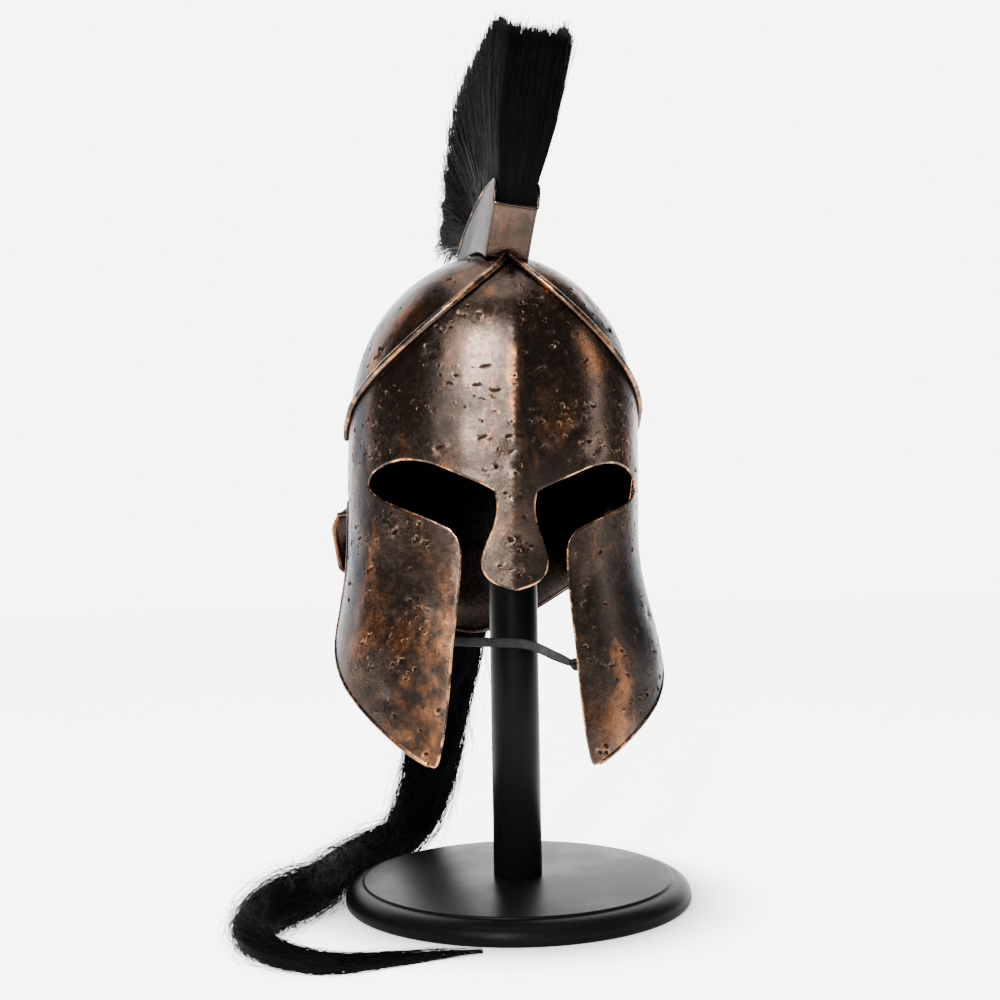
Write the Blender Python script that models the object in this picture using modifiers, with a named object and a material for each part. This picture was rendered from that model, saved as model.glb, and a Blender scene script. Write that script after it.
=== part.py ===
"""Greek bronze helmet with a horsehair crest and tail, on a plain turned wooden stand.

Metres, +Z up. The helmet faces -Y and the origin is the centre of the stand's underside.
The helmet's own shapes are worked out in the helmet's frame, whose X = 0 is its plane of
symmetry, and one empty then sets the helmet on the stand, a little off upright.
"""

from math import atan2, ceil, cos, degrees, hypot, pi, radians, sin, sqrt

import bmesh
import bpy
from mathutils import Matrix, Vector
from mathutils.geometry import delaunay_2d_cdt

# Gaps between pieces
SEAT_GAP = 0.0003
PLATE_GAP = 0.0008
BOX_GAP = 0.0007
STRAP_GAP = 0.0016

# Turned stand
BASE_RADIUS = 0.120
BASE_EDGE = 0.0124
BASE_HEIGHT = 0.0154
BASE_STEP = 0.0016
POST_RADIUS = 0.017
HEAD_RADIUS = 0.040
HEAD_GAP = 0.0006

# How the helmet sits on the stand
HELMET_X = -0.011
HELMET_ROLL = 1.2
ROLL_HEIGHT = 0.200

# Form of the sheet metal: a dome above the equator and a skirt of brow, cheeks and neck below it
EQUATOR_Z = 0.342
CENTRE_Y = 0.036
DOME_RISE = 0.115
DOME_HALF_WIDTH = 0.103
DOME_FRONT = 0.114
DOME_BACK = 0.112
SKIRT_DROP = 0.242
SECTION_POWER = 2.2
FRONT_POWER = 2.5
KEEL_RISE = 0.0032
KEEL_HALF_WIDTH = 0.030
CHEEK_LEAN = 0.0045

# Sheet and rolled edges
SHEET = 0.0016
BROW_RIM_RADIUS = 0.0027
CHEEK_RIM_RADIUS = 0.0019
NECK_RIM_RADIUS = 0.0017
EAR_FLARE = 0.020
EAR_RADIUS = 0.025
EAR_FALLOFF = 0.011

# Crest box and crest
BOX_HALF_WIDTH = 0.0155
BOX_HEIGHT = 0.054
BOX_LENGTH = 0.085
BOX_FRONT_Y = -0.0305
BOX_RIM_RADIUS = 0.0013
BOX_FLARE = 0.012
CREST_ROLL = 6.0
CREST_PIVOT_Z = 0.440
CREST_ROOT_SHARE = 0.74
CREST_HEIGHT = 0.152
CREST_HALF_WIDTH = 0.028
CREST_LOCKS = 15
CREST_LOCK_DEPTH = 0.09
HAIR_GAP = 0.0005

# Tail
TAIL_HALF_WIDTH = 0.022
TAIL_LOCKS = 5
TAIL_LOCK_DEPTH = 0.13
TAIL_TWIST = 200.0
TAIL_START_GAP = 0.0008
FLOOR_GAP = 0.0006

# Chin strap
STRAP_WIDTH = 0.0065
STRAP_THICKNESS = 0.0018
KNOT_RADIUS = 0.0038

# Facet sizes
PLATE_SPACING = 0.0125
EDGE_SPACING = 0.0095
TURNED_STEPS = 40
DOME_ROWS = 14

# Skirt: drop, then front half-width, front reach, back half-width and back reach,
# as shares of the skirt's drop and of the same sizes at the equator
SKIRT_ROWS = (
    (0.00, 1.000, 1.000, 1.000, 1.000),
    (0.17, 1.005, 0.995, 1.000, 1.010),
    (0.34, 1.005, 0.975, 0.970, 0.955),
    (0.46, 1.020, 0.965, 0.935, 0.910),
    (0.59, 1.075, 0.965, 0.940, 0.930),
    (0.68, 1.120, 0.972, 0.965, 0.985),
    (0.76, 1.140, 0.980, 1.000, 1.030),
    (0.88, 1.150, 1.000, 1.020, 1.060),
    (1.00, 1.145, 1.020, 1.030, 1.080),
)

# Edges drawn on the form: degrees round from the front, then height above the equator
# (share of the dome's rise) or drop below it (share of the skirt's drop, negative)
BROW_LINE = (
    (0.0, 0.872), (6.0, 0.775), (13.5, 0.682), (28.0, 0.487), (41.0, 0.327),
    (54.0, 0.190), (67.0, 0.078), (79.0, -0.006), (88.0, -0.045), (92.5, -0.083),
)
CHEEK_REAR = (
    (92.5, -0.083), (89.5, -0.170), (86.0, -0.260), (84.0, -0.350), (84.0, -0.440),
    (86.0, -0.530), (87.5, -0.610), (86.5, -0.665),
)
CHEEK_LOWER = (
    (86.5, -0.665), (81.5, -0.715), (72.5, -0.770), (60.5, -0.828), (48.0, -0.885),
    (36.5, -0.940), (29.0, -0.975), (25.0, -0.990),
)
CHEEK_TIP = ((25.0, -0.990), (23.4, -0.990), (22.4, -0.972))
CHEEK_FRONT = (
    (22.4, -0.972), (20.6, -0.900), (19.2, -0.800), (18.4, -0.680), (17.8, -0.560),
    (17.4, -0.450), (18.2, -0.392), (21.5, -0.360),
)
EYE_LOWER = (
    (21.5, -0.360), (30.0, -0.332), (42.0, -0.302), (53.0, -0.273), (59.0, -0.250),
    (61.0, -0.226), (57.5, -0.198), (50.0, -0.177),
)
EYE_UPPER = (
    (50.0, -0.177), (40.0, -0.168), (29.0, -0.180), (18.0, -0.212), (10.0, -0.238), (5.9, -0.256),
)
NASAL_SIDE = (
    (5.9, -0.256), (5.3, -0.300), (6.3, -0.350), (8.6, -0.400), (9.9, -0.440),
    (9.2, -0.474), (6.0, -0.502), (0.0, -0.522),
)
SKULL_EDGE = (
    (0.0, 0.525), (20.0, 0.467), (40.0, 0.275), (60.0, 0.000), (78.0, -0.150), (84.0, -0.215),
    (87.0, -0.243), (90.0, -0.272), (94.0, -0.287), (99.0, -0.293), (103.0, -0.302), (106.0, -0.325),
    (108.5, -0.372), (109.5, -0.420),
    (111.5, -0.462), (116.0, -0.487), (130.0, -0.518), (150.0, -0.591), (165.0, -0.653), (180.0, -0.678),
)
SKULL_COLUMNS = (
    0, 7, 14, 22, 31, 41, 51, 61, 71, 81, 90, 96, 100.5, 104, 107, 109.5,
    113, 118, 126, 136, 147, 158, 169, 180,
)
EAR_CENTRE = (98.0, -0.430)

# Crest box seen from the side: back from its front foot and up, as shares of length and height
BOX_SIDE = (
    (0.00, -0.20), (0.00, 0.00), (-0.10, 0.32), (-0.22, 0.60),
)
BOX_TOP = (
    (-0.22, 0.60), (-0.21, 0.79), (-0.14, 0.94), (0.00, 1.00), (0.18, 1.00), (0.40, 0.94),
    (0.62, 0.80), (0.83, 0.60), (1.00, 0.34),
)

# Crest: place along its root, lean at the root and at the tip in degrees back from upright,
# hair length as a share of the crest's height, then half-width at the tip and how far the
# tip hangs over to the side, as shares of the crest's half-width
CREST_ROWS = (
    (0.00, -26.0, -18.0, 0.98, 0.72, 0.00),
    (0.20, -14.0, -9.0, 1.04, 0.82, -0.08),
    (0.40, -3.0, 1.0, 1.03, 0.92, -0.18),
    (0.58, 7.0, 14.0, 0.97, 1.00, -0.28),
    (0.74, 17.0, 32.0, 0.90, 1.08, -0.36),
    (0.87, 33.0, 60.0, 0.86, 1.10, -0.36),
    (1.00, 58.0, 96.0, 0.80, 1.02, -0.30),
)

# Tail from the crest box over the back of the dome, in the helmet's frame: back of the
# form's centre and up from the equator, as shares of the dome's back reach and rise (the
# first row starts behind the crest box instead), then half-width and half-thickness as
# shares of the tail's half-width, and the lean of its outer side in degrees up from level
TAIL_ON_HELMET = (
    (0.000, 1.058, 0.52, 0.26, 84.0),
    (0.440, 1.025, 0.64, 0.48, 70.0),
    (0.780, 0.805, 0.74, 0.56, 45.0),
    (1.048, 0.470, 0.84, 0.60, 22.0),
    (1.165, 0.025, 0.92, 0.62, 4.0),
    (1.195, -0.430, 1.00, 0.64, 0.0),
)
# The rest hangs free and lies on the floor round the base: X, Y, half-width,
# half-thickness (shares of the tail's half-width), lean, then its height above the floor
# where it hangs, or none where it lies
TAIL_ROUTE = (
    (-0.0150, 0.1690, 1.06, 0.66, 0.0, 0.2300),
    (-0.0240, 0.1680, 1.10, 0.66, 0.0, 0.1690),
    (-0.0370, 0.1660, 1.04, 0.66, -5.0, 0.1150),
    (-0.0475, 0.1590, 0.92, 0.68, -20.0, 0.0620),
    (-0.0590, 0.1500, 0.80, 0.66, -50.0, 0.0310),
    (-0.0770, 0.1330, 0.66, 0.60, -80.0, None),
    (-0.0985, 0.1040, 0.58, 0.56, -90.0, None),
    (-0.1175, 0.0690, 0.54, 0.55, -90.0, None),
    (-0.1300, 0.0360, 0.54, 0.56, -90.0, None),
    (-0.1385, 0.0000, 0.66, 0.62, -90.0, None),
    (-0.1495, -0.0250, 0.88, 0.72, -90.0, None),
    (-0.1610, -0.0465, 1.00, 0.76, -90.0, None),
    (-0.1730, -0.0665, 0.88, 0.68, -90.0, None),
    (-0.1795, -0.0910, 0.64, 0.54, -90.0, None),
    (-0.1715, -0.1165, 0.46, 0.42, -90.0, None),
    (-0.1540, -0.1355, 0.37, 0.34, -90.0, None),
    (-0.1325, -0.1450, 0.31, 0.27, -90.0, None),
    (-0.1125, -0.1430, 0.25, 0.22, -90.0, None),
    (-0.0905, -0.1375, 0.19, 0.17, -90.0, None),
    (-0.0665, -0.1300, 0.13, 0.12, -90.0, None),
    (-0.0420, -0.1250, 0.06, 0.06, -90.0, None),
)

# Chin strap along the inside of a cheek plate, from its anchor: degrees round, drop
STRAP_ON_CHEEK = ((79.0, 0.380), (77.0, 0.470), (70.0, 0.560), (58.0, 0.620), (46.0, 0.645))
# and free between the plates: across as a share of the form's half-width, then Y and drop
STRAP_FREE = (
    (-0.52, -0.0440, 0.655), (-0.32, -0.0350, 0.668), (-0.08, -0.0310, 0.673),
    (0.16, -0.0310, 0.680), (0.34, -0.0370, 0.712), (0.455, -0.0440, 0.730), (0.57, -0.0480, 0.715),
)
KNOT_PLACE = 0.455


def empty_scene():
    """Start from nothing but this script's own objects."""
    for old in list(bpy.data.objects):
        bpy.data.objects.remove(old, do_unlink=True)
    parts = bpy.data.collections.new("greek_helmet_on_stand")
    cutters = bpy.data.collections.new("cutters")
    bpy.context.scene.collection.children.link(parts)
    bpy.context.scene.collection.children.link(cutters)
    return parts, cutters


def finish(name, colour, metallic, roughness):
    """A plain Principled material."""
    material = bpy.data.materials.new(name)
    material.use_nodes = True
    shader = material.node_tree.nodes["Principled BSDF"]
    shader.inputs["Base Color"].default_value = (*colour, 1.0)
    shader.inputs["Metallic"].default_value = metallic
    shader.inputs["Roughness"].default_value = roughness
    return material


def add_mesh(name, vertices, faces, collection, material=None, parent=None, smooth=True):
    """A mesh object from vertices and faces."""
    mesh = bpy.data.meshes.new(name)
    mesh.from_pydata([tuple(v) for v in vertices], [], faces)
    mesh.update()
    if smooth:
        mesh.shade_smooth()
        mesh.set_sharp_from_angle(angle=radians(40))
    thing = bpy.data.objects.new(name, mesh)
    collection.objects.link(thing)
    thing.parent = parent
    if material:
        mesh.materials.append(material)
    return thing


def as_cutter(thing):
    """Hide a cutter or a fused edge from the finished model."""
    thing.hide_render = True
    thing.display_type = "WIRE"
    return thing


def boolean(thing, other, operation):
    """Cut or join one object with another."""
    modifier = thing.modifiers.new(other.name, "BOOLEAN")
    modifier.object = other
    modifier.operation = operation
    modifier.solver = "EXACT"


def solidify(thing, thickness):
    """Give an open surface its wall, half to each side."""
    modifier = thing.modifiers.new("sheet", "SOLIDIFY")
    modifier.thickness = thickness
    modifier.offset = 0.0
    modifier.use_quality_normals = True


def apply_modifiers(thing):
    """Make what a thing's modifiers give its own mesh."""
    bpy.context.view_layer.update()
    evaluated = thing.evaluated_get(bpy.context.evaluated_depsgraph_get())
    mesh = bpy.data.meshes.new_from_object(evaluated)
    thing.modifiers.clear()
    thing.data = mesh
    mesh.name = thing.name


def mirror(thing):
    """Join a half with its mirror image."""
    modifier = thing.modifiers.new("other_half", "MIRROR")
    modifier.merge_threshold = 0.0001


def mesh_from_curve(name, curve, collection, matrix, parent=None):
    """Make a mesh of a curve, with its caps welded."""
    source = bpy.data.objects.new(name + "_curve", curve)
    collection.objects.link(source)
    source.matrix_world = matrix
    bpy.context.view_layer.update()
    evaluated = source.evaluated_get(bpy.context.evaluated_depsgraph_get())
    mesh = bpy.data.meshes.new_from_object(evaluated)
    work = bmesh.new()
    work.from_mesh(mesh)
    bmesh.ops.remove_doubles(work, verts=work.verts, dist=0.00002)
    work.to_mesh(mesh)
    work.free()
    mesh.name = name
    thing = bpy.data.objects.new(name, mesh)
    collection.objects.link(thing)
    thing.parent = parent
    thing.matrix_local = matrix
    bpy.data.objects.remove(source, do_unlink=True)
    return thing


def tube(name, points, radius, collection, parent=None):
    """A round rod along points, for a rolled edge."""
    curve = bpy.data.curves.new(name, "CURVE")
    curve.dimensions = "3D"
    curve.bevel_depth = radius
    curve.bevel_resolution = 1
    curve.use_fill_caps = True
    spline = curve.splines.new("POLY")
    spline.points.add(len(points) - 1)
    for corner, point in zip(spline.points, points):
        corner.co = (*point, 1.0)
    return mesh_from_curve(name, curve, collection, Matrix.Identity(4), parent)


def side_prism(name, outline, half_width, collection, parent=None):
    """A flat outline of (y, z) points, drawn from the side and as wide as stated."""
    curve = bpy.data.curves.new(name, "CURVE")
    curve.dimensions = "2D"
    curve.fill_mode = "BOTH"
    curve.extrude = half_width
    spline = curve.splines.new("POLY")
    spline.points.add(len(outline) - 1)
    spline.use_cyclic_u = True
    for corner, (y, z) in zip(spline.points, outline):
        corner.co = (y, z, 0.0, 1.0)
    from_side = Matrix(((0, 0, 1, 0), (1, 0, 0, 0), (0, 1, 0, 0), (0, 0, 0, 1)))
    return mesh_from_curve(name, curve, collection, from_side, parent)


def hermite(rows, place, column):
    """A column of a table, read smoothly at a place given by its first column."""
    last = len(rows) - 1
    place = min(max(place, rows[0][0]), rows[last][0])
    i = 0
    while i < last - 1 and place > rows[i + 1][0]:
        i += 1
    span = rows[i + 1][0] - rows[i][0]
    u = (place - rows[i][0]) / span

    def slope(k):
        before, after = rows[max(k - 1, 0)], rows[min(k + 1, last)]
        return (after[column] - before[column]) / (after[0] - before[0]) * span

    start, end = rows[i][column], rows[i + 1][column]
    return (
        (2 * u**3 - 3 * u**2 + 1) * start + (u**3 - 2 * u**2 + u) * slope(i)
        + (3 * u**2 - 2 * u**3) * end + (u**3 - u**2) * slope(i + 1)
    )


def spline_through(points, pieces):
    """Smooth points through the given ones (tuples of numbers), some to each stretch."""
    ends = [points[0]] + list(points) + [points[-1]]
    smooth = []
    for a, b, c, d in zip(ends, ends[1:], ends[2:], ends[3:]):
        for step in range(pieces):
            u = step / pieces
            smooth.append(tuple(
                q + 0.5 * u * (r - p + u * (2 * p - 5 * q + 4 * r - s + u * (3 * (q - r) + s - p)))
                for p, q, r, s in zip(a, b, c, d)
            ))
    smooth.append(tuple(points[-1]))
    return smooth


# The form that the sheets are raised on

def height(share):
    """World height of a share of the dome's rise, or of the skirt's drop if negative."""
    return EQUATOR_Z + share * (DOME_RISE if share >= 0 else SKIRT_DROP)


def section(z):
    """Front half-width, front reach, back half-width and back reach of the form at a height."""
    if z >= EQUATOR_Z:
        rise = min((z - EQUATOR_Z) / DOME_RISE, 1.0)
        round_share = sqrt(1.0 - rise * rise)
        full_share = (1.0 - rise**FRONT_POWER) ** (1.0 / FRONT_POWER)
        return (
            DOME_HALF_WIDTH * round_share, DOME_FRONT * full_share,
            DOME_HALF_WIDTH * round_share, DOME_BACK * round_share,
        )
    drop = (EQUATOR_Z - z) / SKIRT_DROP
    sizes = (DOME_HALF_WIDTH, DOME_FRONT, DOME_HALF_WIDTH, DOME_BACK)
    return tuple(size * hermite(SKIRT_ROWS, drop, k + 1) for k, size in enumerate(sizes))


def ear_flare(around, z, x):
    """How far the edge of the skull turns out round the ear."""
    ear_round = (around - EAR_CENTRE[0]) / 180.0 * pi * DOME_HALF_WIDTH
    distance = hypot(ear_round, z - height(EAR_CENTRE[1]))
    behind = min(max((around - 94.0) / 8.0, 0.0), 1.0)
    flare = 2.718 ** (-((max(distance - EAR_RADIUS, 0.0) / EAR_FALLOFF) ** 2))
    return EAR_FLARE * behind * behind * (3 - 2 * behind) * flare if x else 0.0


def cheek_lean(point):
    """How far a cheek plate leans to the wearer's left at a point of the form."""
    drop = min(max(((EQUATOR_Z - point.z) / SKIRT_DROP - 0.35) / 0.40, 0.0), 1.0)
    across = min(abs(point.x) / DOME_HALF_WIDTH, 1.0)
    return CHEEK_LEAN * across * across * drop * drop * (3 - 2 * drop)


def bare_form(around, z):
    """A point of the form: degrees round from the front (negative on -X) and a height."""
    side = -1.0 if around < 0 else 1.0
    turn = radians(abs(around))
    front_width, front_reach, back_width, back_reach = section(z)
    power = 2.0 / SECTION_POWER
    across = sin(turn) ** power if 0 < turn < pi else 0.0
    if turn <= pi / 2:
        x = front_width * across
        y = CENTRE_Y - front_reach * max(cos(turn), 0.0) ** power
        fade = min(max((height(0.80) - z) / (0.30 * DOME_RISE), 0.0), 1.0)
        y -= KEEL_RISE * fade * max(0.0, 1.0 - x / KEEL_HALF_WIDTH) ** 2
    else:
        x = back_width * across
        y = CENTRE_Y + back_reach * max(-cos(turn), 0.0) ** power
        x += ear_flare(abs(around), z, x)
    return Vector((side * x, y, z))


def on_form(around, z, out=0.0):
    """A point of the form, moved out along its normal."""
    point = bare_form(around, z)
    if out == 0.0:
        return point
    step_round, step_up = 0.5, 0.0005
    high, low = min(z + step_up, EQUATOR_Z + DOME_RISE - 1e-5), z - step_up
    if abs(around) > 179.5:
        along = Vector((-1.0, 0.0, 0.0))
    else:
        along = bare_form(around + step_round, z) - bare_form(around - step_round, z)
    if z > EQUATOR_Z + 0.999 * DOME_RISE:
        return point + Vector((0.0, 0.0, out))
    upward = bare_form(around, high) - bare_form(around, low)
    return point + along.cross(upward).normalized() * out


def drawn_edge(table, spacing):
    """Points (degrees, height) along an edge table, about one spacing apart."""
    fine = spline_through(table, 12)
    flat = [(a / 180 * pi * DOME_HALF_WIDTH, height(share)) for a, share in fine]
    lengths = [0.0]
    for (x0, z0), (x1, z1) in zip(flat, flat[1:]):
        lengths.append(lengths[-1] + hypot(x1 - x0, z1 - z0))
    count = max(2, ceil(lengths[-1] / spacing))
    points, k = [], 0
    for n in range(count + 1):
        target = lengths[-1] * n / count
        while k < len(lengths) - 2 and lengths[k + 1] < target:
            k += 1
        u = (target - lengths[k]) / (lengths[k + 1] - lengths[k])
        around = fine[k][0] + u * (fine[k + 1][0] - fine[k][0])
        points.append((around, flat[k][1] + u * (flat[k + 1][1] - flat[k][1])))
    return points


def both_sides(points):
    """An edge that meets the front centre, with its mirror image in front of it."""
    return [(-a, z) for a, z in reversed(points[1:])] + points


def clear_of(outline, x, z, distance):
    """Whether a point of the flat pattern is inside an outline and clear of its edge."""
    inside = False
    for (x0, z0), (x1, z1) in zip(outline, outline[1:] + outline[:1]):
        if (z0 > z) != (z1 > z) and x < x0 + (z - z0) / (z1 - z0) * (x1 - x0):
            inside = not inside
        span = (x1 - x0) ** 2 + (z1 - z0) ** 2
        u = min(max(((x - x0) * (x1 - x0) + (z - z0) * (z1 - z0)) / span, 0.0), 1.0)
        if hypot(x0 + u * (x1 - x0) - x, z0 + u * (z1 - z0) - z) < distance:
            return False
    return inside


# Sheet-metal pieces

def face_outline():
    """The half pattern of the face plate: brow, cheek, eye and nasal, in order round it."""
    runs = (BROW_LINE, CHEEK_REAR, CHEEK_LOWER, CHEEK_TIP, CHEEK_FRONT, EYE_LOWER, EYE_UPPER, NASAL_SIDE)
    outline = []
    for run in runs:
        outline += drawn_edge(run, EDGE_SPACING)[:-1]
    nasal_tip = (0.0, height(NASAL_SIDE[-1][1]))
    apex = (0.0, height(BROW_LINE[0][1]))
    steps = round((apex[1] - nasal_tip[1]) / PLATE_SPACING)
    rise = (apex[1] - nasal_tip[1]) / steps
    outline += [(0.0, nasal_tip[1] + rise * k) for k in range(steps)]
    return outline


def make_face_plate(parts, cutters, bronze, frame):
    """Brow, nasal and cheek plates: one sheet with rolled brow and cheek edges."""
    to_flat = pi / 180 * DOME_HALF_WIDTH
    outline = [(around * to_flat, z) for around, z in face_outline()]
    points = list(outline)
    z, row = height(-1.0), 0
    while z < height(0.9):
        x = (0.6 + 0.5 * (row % 2)) * PLATE_SPACING
        while x < radians(95) * DOME_HALF_WIDTH:
            if clear_of(outline, x, z, 0.5 * PLATE_SPACING):
                points.append((x, z))
            x += PLATE_SPACING
        z += 0.87 * PLATE_SPACING
        row += 1
    flat = [Vector(p) for p in points]
    corners, _, faces, _, _, _ = delaunay_2d_cdt(flat, [], [list(range(len(outline)))], 1, 1e-7)
    middle = PLATE_GAP + 0.5 * SHEET
    vertices = [on_form(c.x / to_flat, c.y, middle) for c in corners]
    for vertex, corner in zip(vertices, corners):
        if corner.x < 1e-6:
            vertex.x = 0.0
    plate = add_mesh("face_plate", vertices, faces, parts, bronze, frame)
    mirror(plate)
    solidify(plate, SHEET)

    brow = both_sides(drawn_edge(BROW_LINE, EDGE_SPACING))
    brow_out = PLATE_GAP + BROW_RIM_RADIUS
    rod = tube("brow_edge", [on_form(a, z, brow_out) for a, z in brow], BROW_RIM_RADIUS, cutters, frame)
    boolean(plate, as_cutter(rod), "UNION")
    lower = drawn_edge(CHEEK_REAR[2:], EDGE_SPACING)[:-1] + drawn_edge(CHEEK_LOWER, EDGE_SPACING)
    for side, name in ((1, "left_cheek_edge"), (-1, "right_cheek_edge")):
        path = [on_form(side * a, z, middle) for a, z in lower]
        rod = tube(name, path, CHEEK_RIM_RADIUS, cutters, frame)
        boolean(plate, as_cutter(rod), "UNION")
    apply_modifiers(plate)
    for vertex in plate.data.vertices:
        vertex.co.x += cheek_lean(vertex.co)
    return plate


def skull_drop(q):
    """Height on the form at q degrees from the pole, past 90 on the skirt."""
    if q <= 90.0:
        return EQUATOR_Z + DOME_RISE * cos(radians(q))
    return EQUATOR_Z - (q - 90.0) / 90.0 * 0.5 * pi * DOME_RISE


def skull_reach(z):
    """Degrees from the pole at a height, the other way round from skull_drop."""
    if z >= EQUATOR_Z:
        return degrees(atan2(sqrt(max(DOME_RISE**2 - (z - EQUATOR_Z) ** 2, 0.0)), z - EQUATOR_Z))
    return 90.0 + (EQUATOR_Z - z) / (0.5 * pi * DOME_RISE) * 90.0


def skull_edge_height(around):
    """Height of the skull's lower edge, degrees round from the front."""
    return height(hermite(SKULL_EDGE, around, 1))


def make_skull(parts, cutters, bronze, frame):
    """Dome, back and neck guard: rows from the pole down to the edge, and a rolled edge."""
    vertices = [on_form(0.0, EQUATOR_Z + DOME_RISE, -0.5 * SHEET)]
    for around in SKULL_COLUMNS:
        reach = skull_reach(skull_edge_height(around))
        for row in range(1, DOME_ROWS + 1):
            vertex = on_form(around, skull_drop(reach * row / DOME_ROWS), -0.5 * SHEET)
            if around in (0, 180):
                vertex.x = 0.0
            vertices.append(vertex)
    faces = []
    for column in range(len(SKULL_COLUMNS) - 1):
        here, beside = 1 + column * DOME_ROWS, 1 + (column + 1) * DOME_ROWS
        faces.append((0, here, beside))
        for row in range(DOME_ROWS - 1):
            faces.append((here + row, here + row + 1, beside + row + 1, beside + row))
    skull = add_mesh("skull", vertices, faces, parts, bronze, frame)
    mirror(skull)
    solidify(skull, SHEET)

    rolled = [a for a in SKULL_COLUMNS if a > 95]
    path = [on_form(a, skull_edge_height(a), -0.5 * SHEET) for a in rolled]
    path += [on_form(-a, skull_edge_height(a), -0.5 * SHEET) for a in reversed(rolled[:-1])]
    boolean(skull, as_cutter(tube("neck_edge", path, NECK_RIM_RADIUS, cutters, frame)), "UNION")
    return skull


def make_dome_cutter(cutters, frame):
    """The outside of the dome and a clearance, closed below, to trim what stands on it."""
    columns = [15 * k for k in range(-11, 13)]
    rows = [10 * k for k in range(1, 7)]
    vertices = [on_form(0.0, EQUATOR_Z + DOME_RISE, BOX_GAP)]
    for around in columns:
        for q in rows:
            vertices.append(on_form(around, skull_drop(q), BOX_GAP))
    faces = []
    for column in range(len(columns)):
        here, beside = 1 + column * len(rows), 1 + (column + 1) % len(columns) * len(rows)
        faces.append((0, here, beside))
        for row in range(len(rows) - 1):
            faces.append((here + row, here + row + 1, beside + row + 1, beside + row))
    faces.append([1 + column * len(rows) + len(rows) - 1 for column in reversed(range(len(columns)))])
    return as_cutter(add_mesh("dome_outside", vertices, faces, cutters, None, frame, False))


def box_foot():
    """Where the crest box's front wall meets the dome."""
    reach = (CENTRE_Y - BOX_FRONT_Y) / DOME_FRONT
    return EQUATOR_Z + DOME_RISE * (1.0 - reach**FRONT_POWER) ** (1.0 / FRONT_POWER)


def box_outline(inset):
    """The crest box from the side, drawn in by an inset at its front."""
    foot = box_foot()
    place = [(BOX_FRONT_Y + inset + u * BOX_LENGTH, foot + v * BOX_HEIGHT) for u, v in BOX_SIDE]
    top = spline_through(BOX_TOP, 3)
    place += [(BOX_FRONT_Y + inset + u * BOX_LENGTH, foot + v * BOX_HEIGHT) for u, v in top[1:]]
    place.append((place[-1][0], foot - 0.20 * BOX_HEIGHT))
    return place


def flare_behind(prism):
    """Spread a prism's sides apart from the crest box's front wall backwards.

    The prism's own X and Z are the helmet's Y and X.
    """
    start_y = BOX_FRONT_Y + 2 * SHEET
    work = bmesh.new()
    work.from_mesh(prism.data)
    geometry = work.verts[:] + work.edges[:] + work.faces[:]
    bmesh.ops.bisect_plane(
        work, geom=geometry, dist=1e-7, plane_co=(start_y, 0.0, 0.0), plane_no=(1.0, 0.0, 0.0),
    )
    for vertex in work.verts:
        back = max((vertex.co.x - start_y) / BOX_LENGTH, 0.0)
        vertex.co.z += BOX_FLARE * back * (1.0 if vertex.co.z > 0 else -1.0)
    bmesh.ops.recalc_face_normals(work, faces=work.faces)
    work.to_mesh(prism.data)
    work.free()


def make_crest_box(parts, cutters, bronze, frame, crest_frame):
    """Front wall and two side panels of the crest's holder, open above, behind and below."""
    box = side_prism("crest_box", box_outline(0.0), BOX_HALF_WIDTH, parts, crest_frame)
    box.data.materials.append(bronze)
    flare_behind(box)
    foot, top_u, top_v = box_foot(), *BOX_SIDE[-1]
    inner = [(y, z) for y, z in box_outline(1.2 * SHEET)[:len(BOX_SIDE)]]
    lip = inner[-1]
    inner += [(lip[0] - 0.02 * BOX_LENGTH, foot + 1.2 * BOX_HEIGHT)]
    inner += [(BOX_FRONT_Y + 1.3 * BOX_LENGTH, foot + 1.2 * BOX_HEIGHT)]
    inner += [(BOX_FRONT_Y + 1.3 * BOX_LENGTH, foot - 0.3 * BOX_HEIGHT)]
    inner[0] = (inner[0][0], foot - 0.3 * BOX_HEIGHT)
    hollow = side_prism("crest_box_hollow", inner, BOX_HALF_WIDTH - SHEET, cutters, crest_frame)
    flare_behind(hollow)
    boolean(box, as_cutter(hollow), "DIFFERENCE")
    lip_y = BOX_FRONT_Y + top_u * BOX_LENGTH + 0.5 * SHEET
    lip_z = foot + top_v * BOX_HEIGHT - 0.4 * BOX_RIM_RADIUS
    ends = [(x, lip_y, lip_z) for x in (-BOX_HALF_WIDTH + 0.5 * SHEET, BOX_HALF_WIDTH - 0.5 * SHEET)]
    boolean(box, as_cutter(tube("box_lip", ends, BOX_RIM_RADIUS, cutters, crest_frame)), "UNION")
    boolean(box, make_dome_cutter(cutters, frame), "DIFFERENCE")
    return box


# Horsehair

def dome_top(y):
    """Height of the dome's centre line at a place along it."""
    reach = (y - CENTRE_Y) / (DOME_FRONT if y < CENTRE_Y else DOME_BACK)
    power = FRONT_POWER if y < CENTRE_Y else 2.0
    return EQUATOR_Z + DOME_RISE * max(1.0 - abs(reach) ** power, 0.0) ** (1.0 / power)


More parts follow.
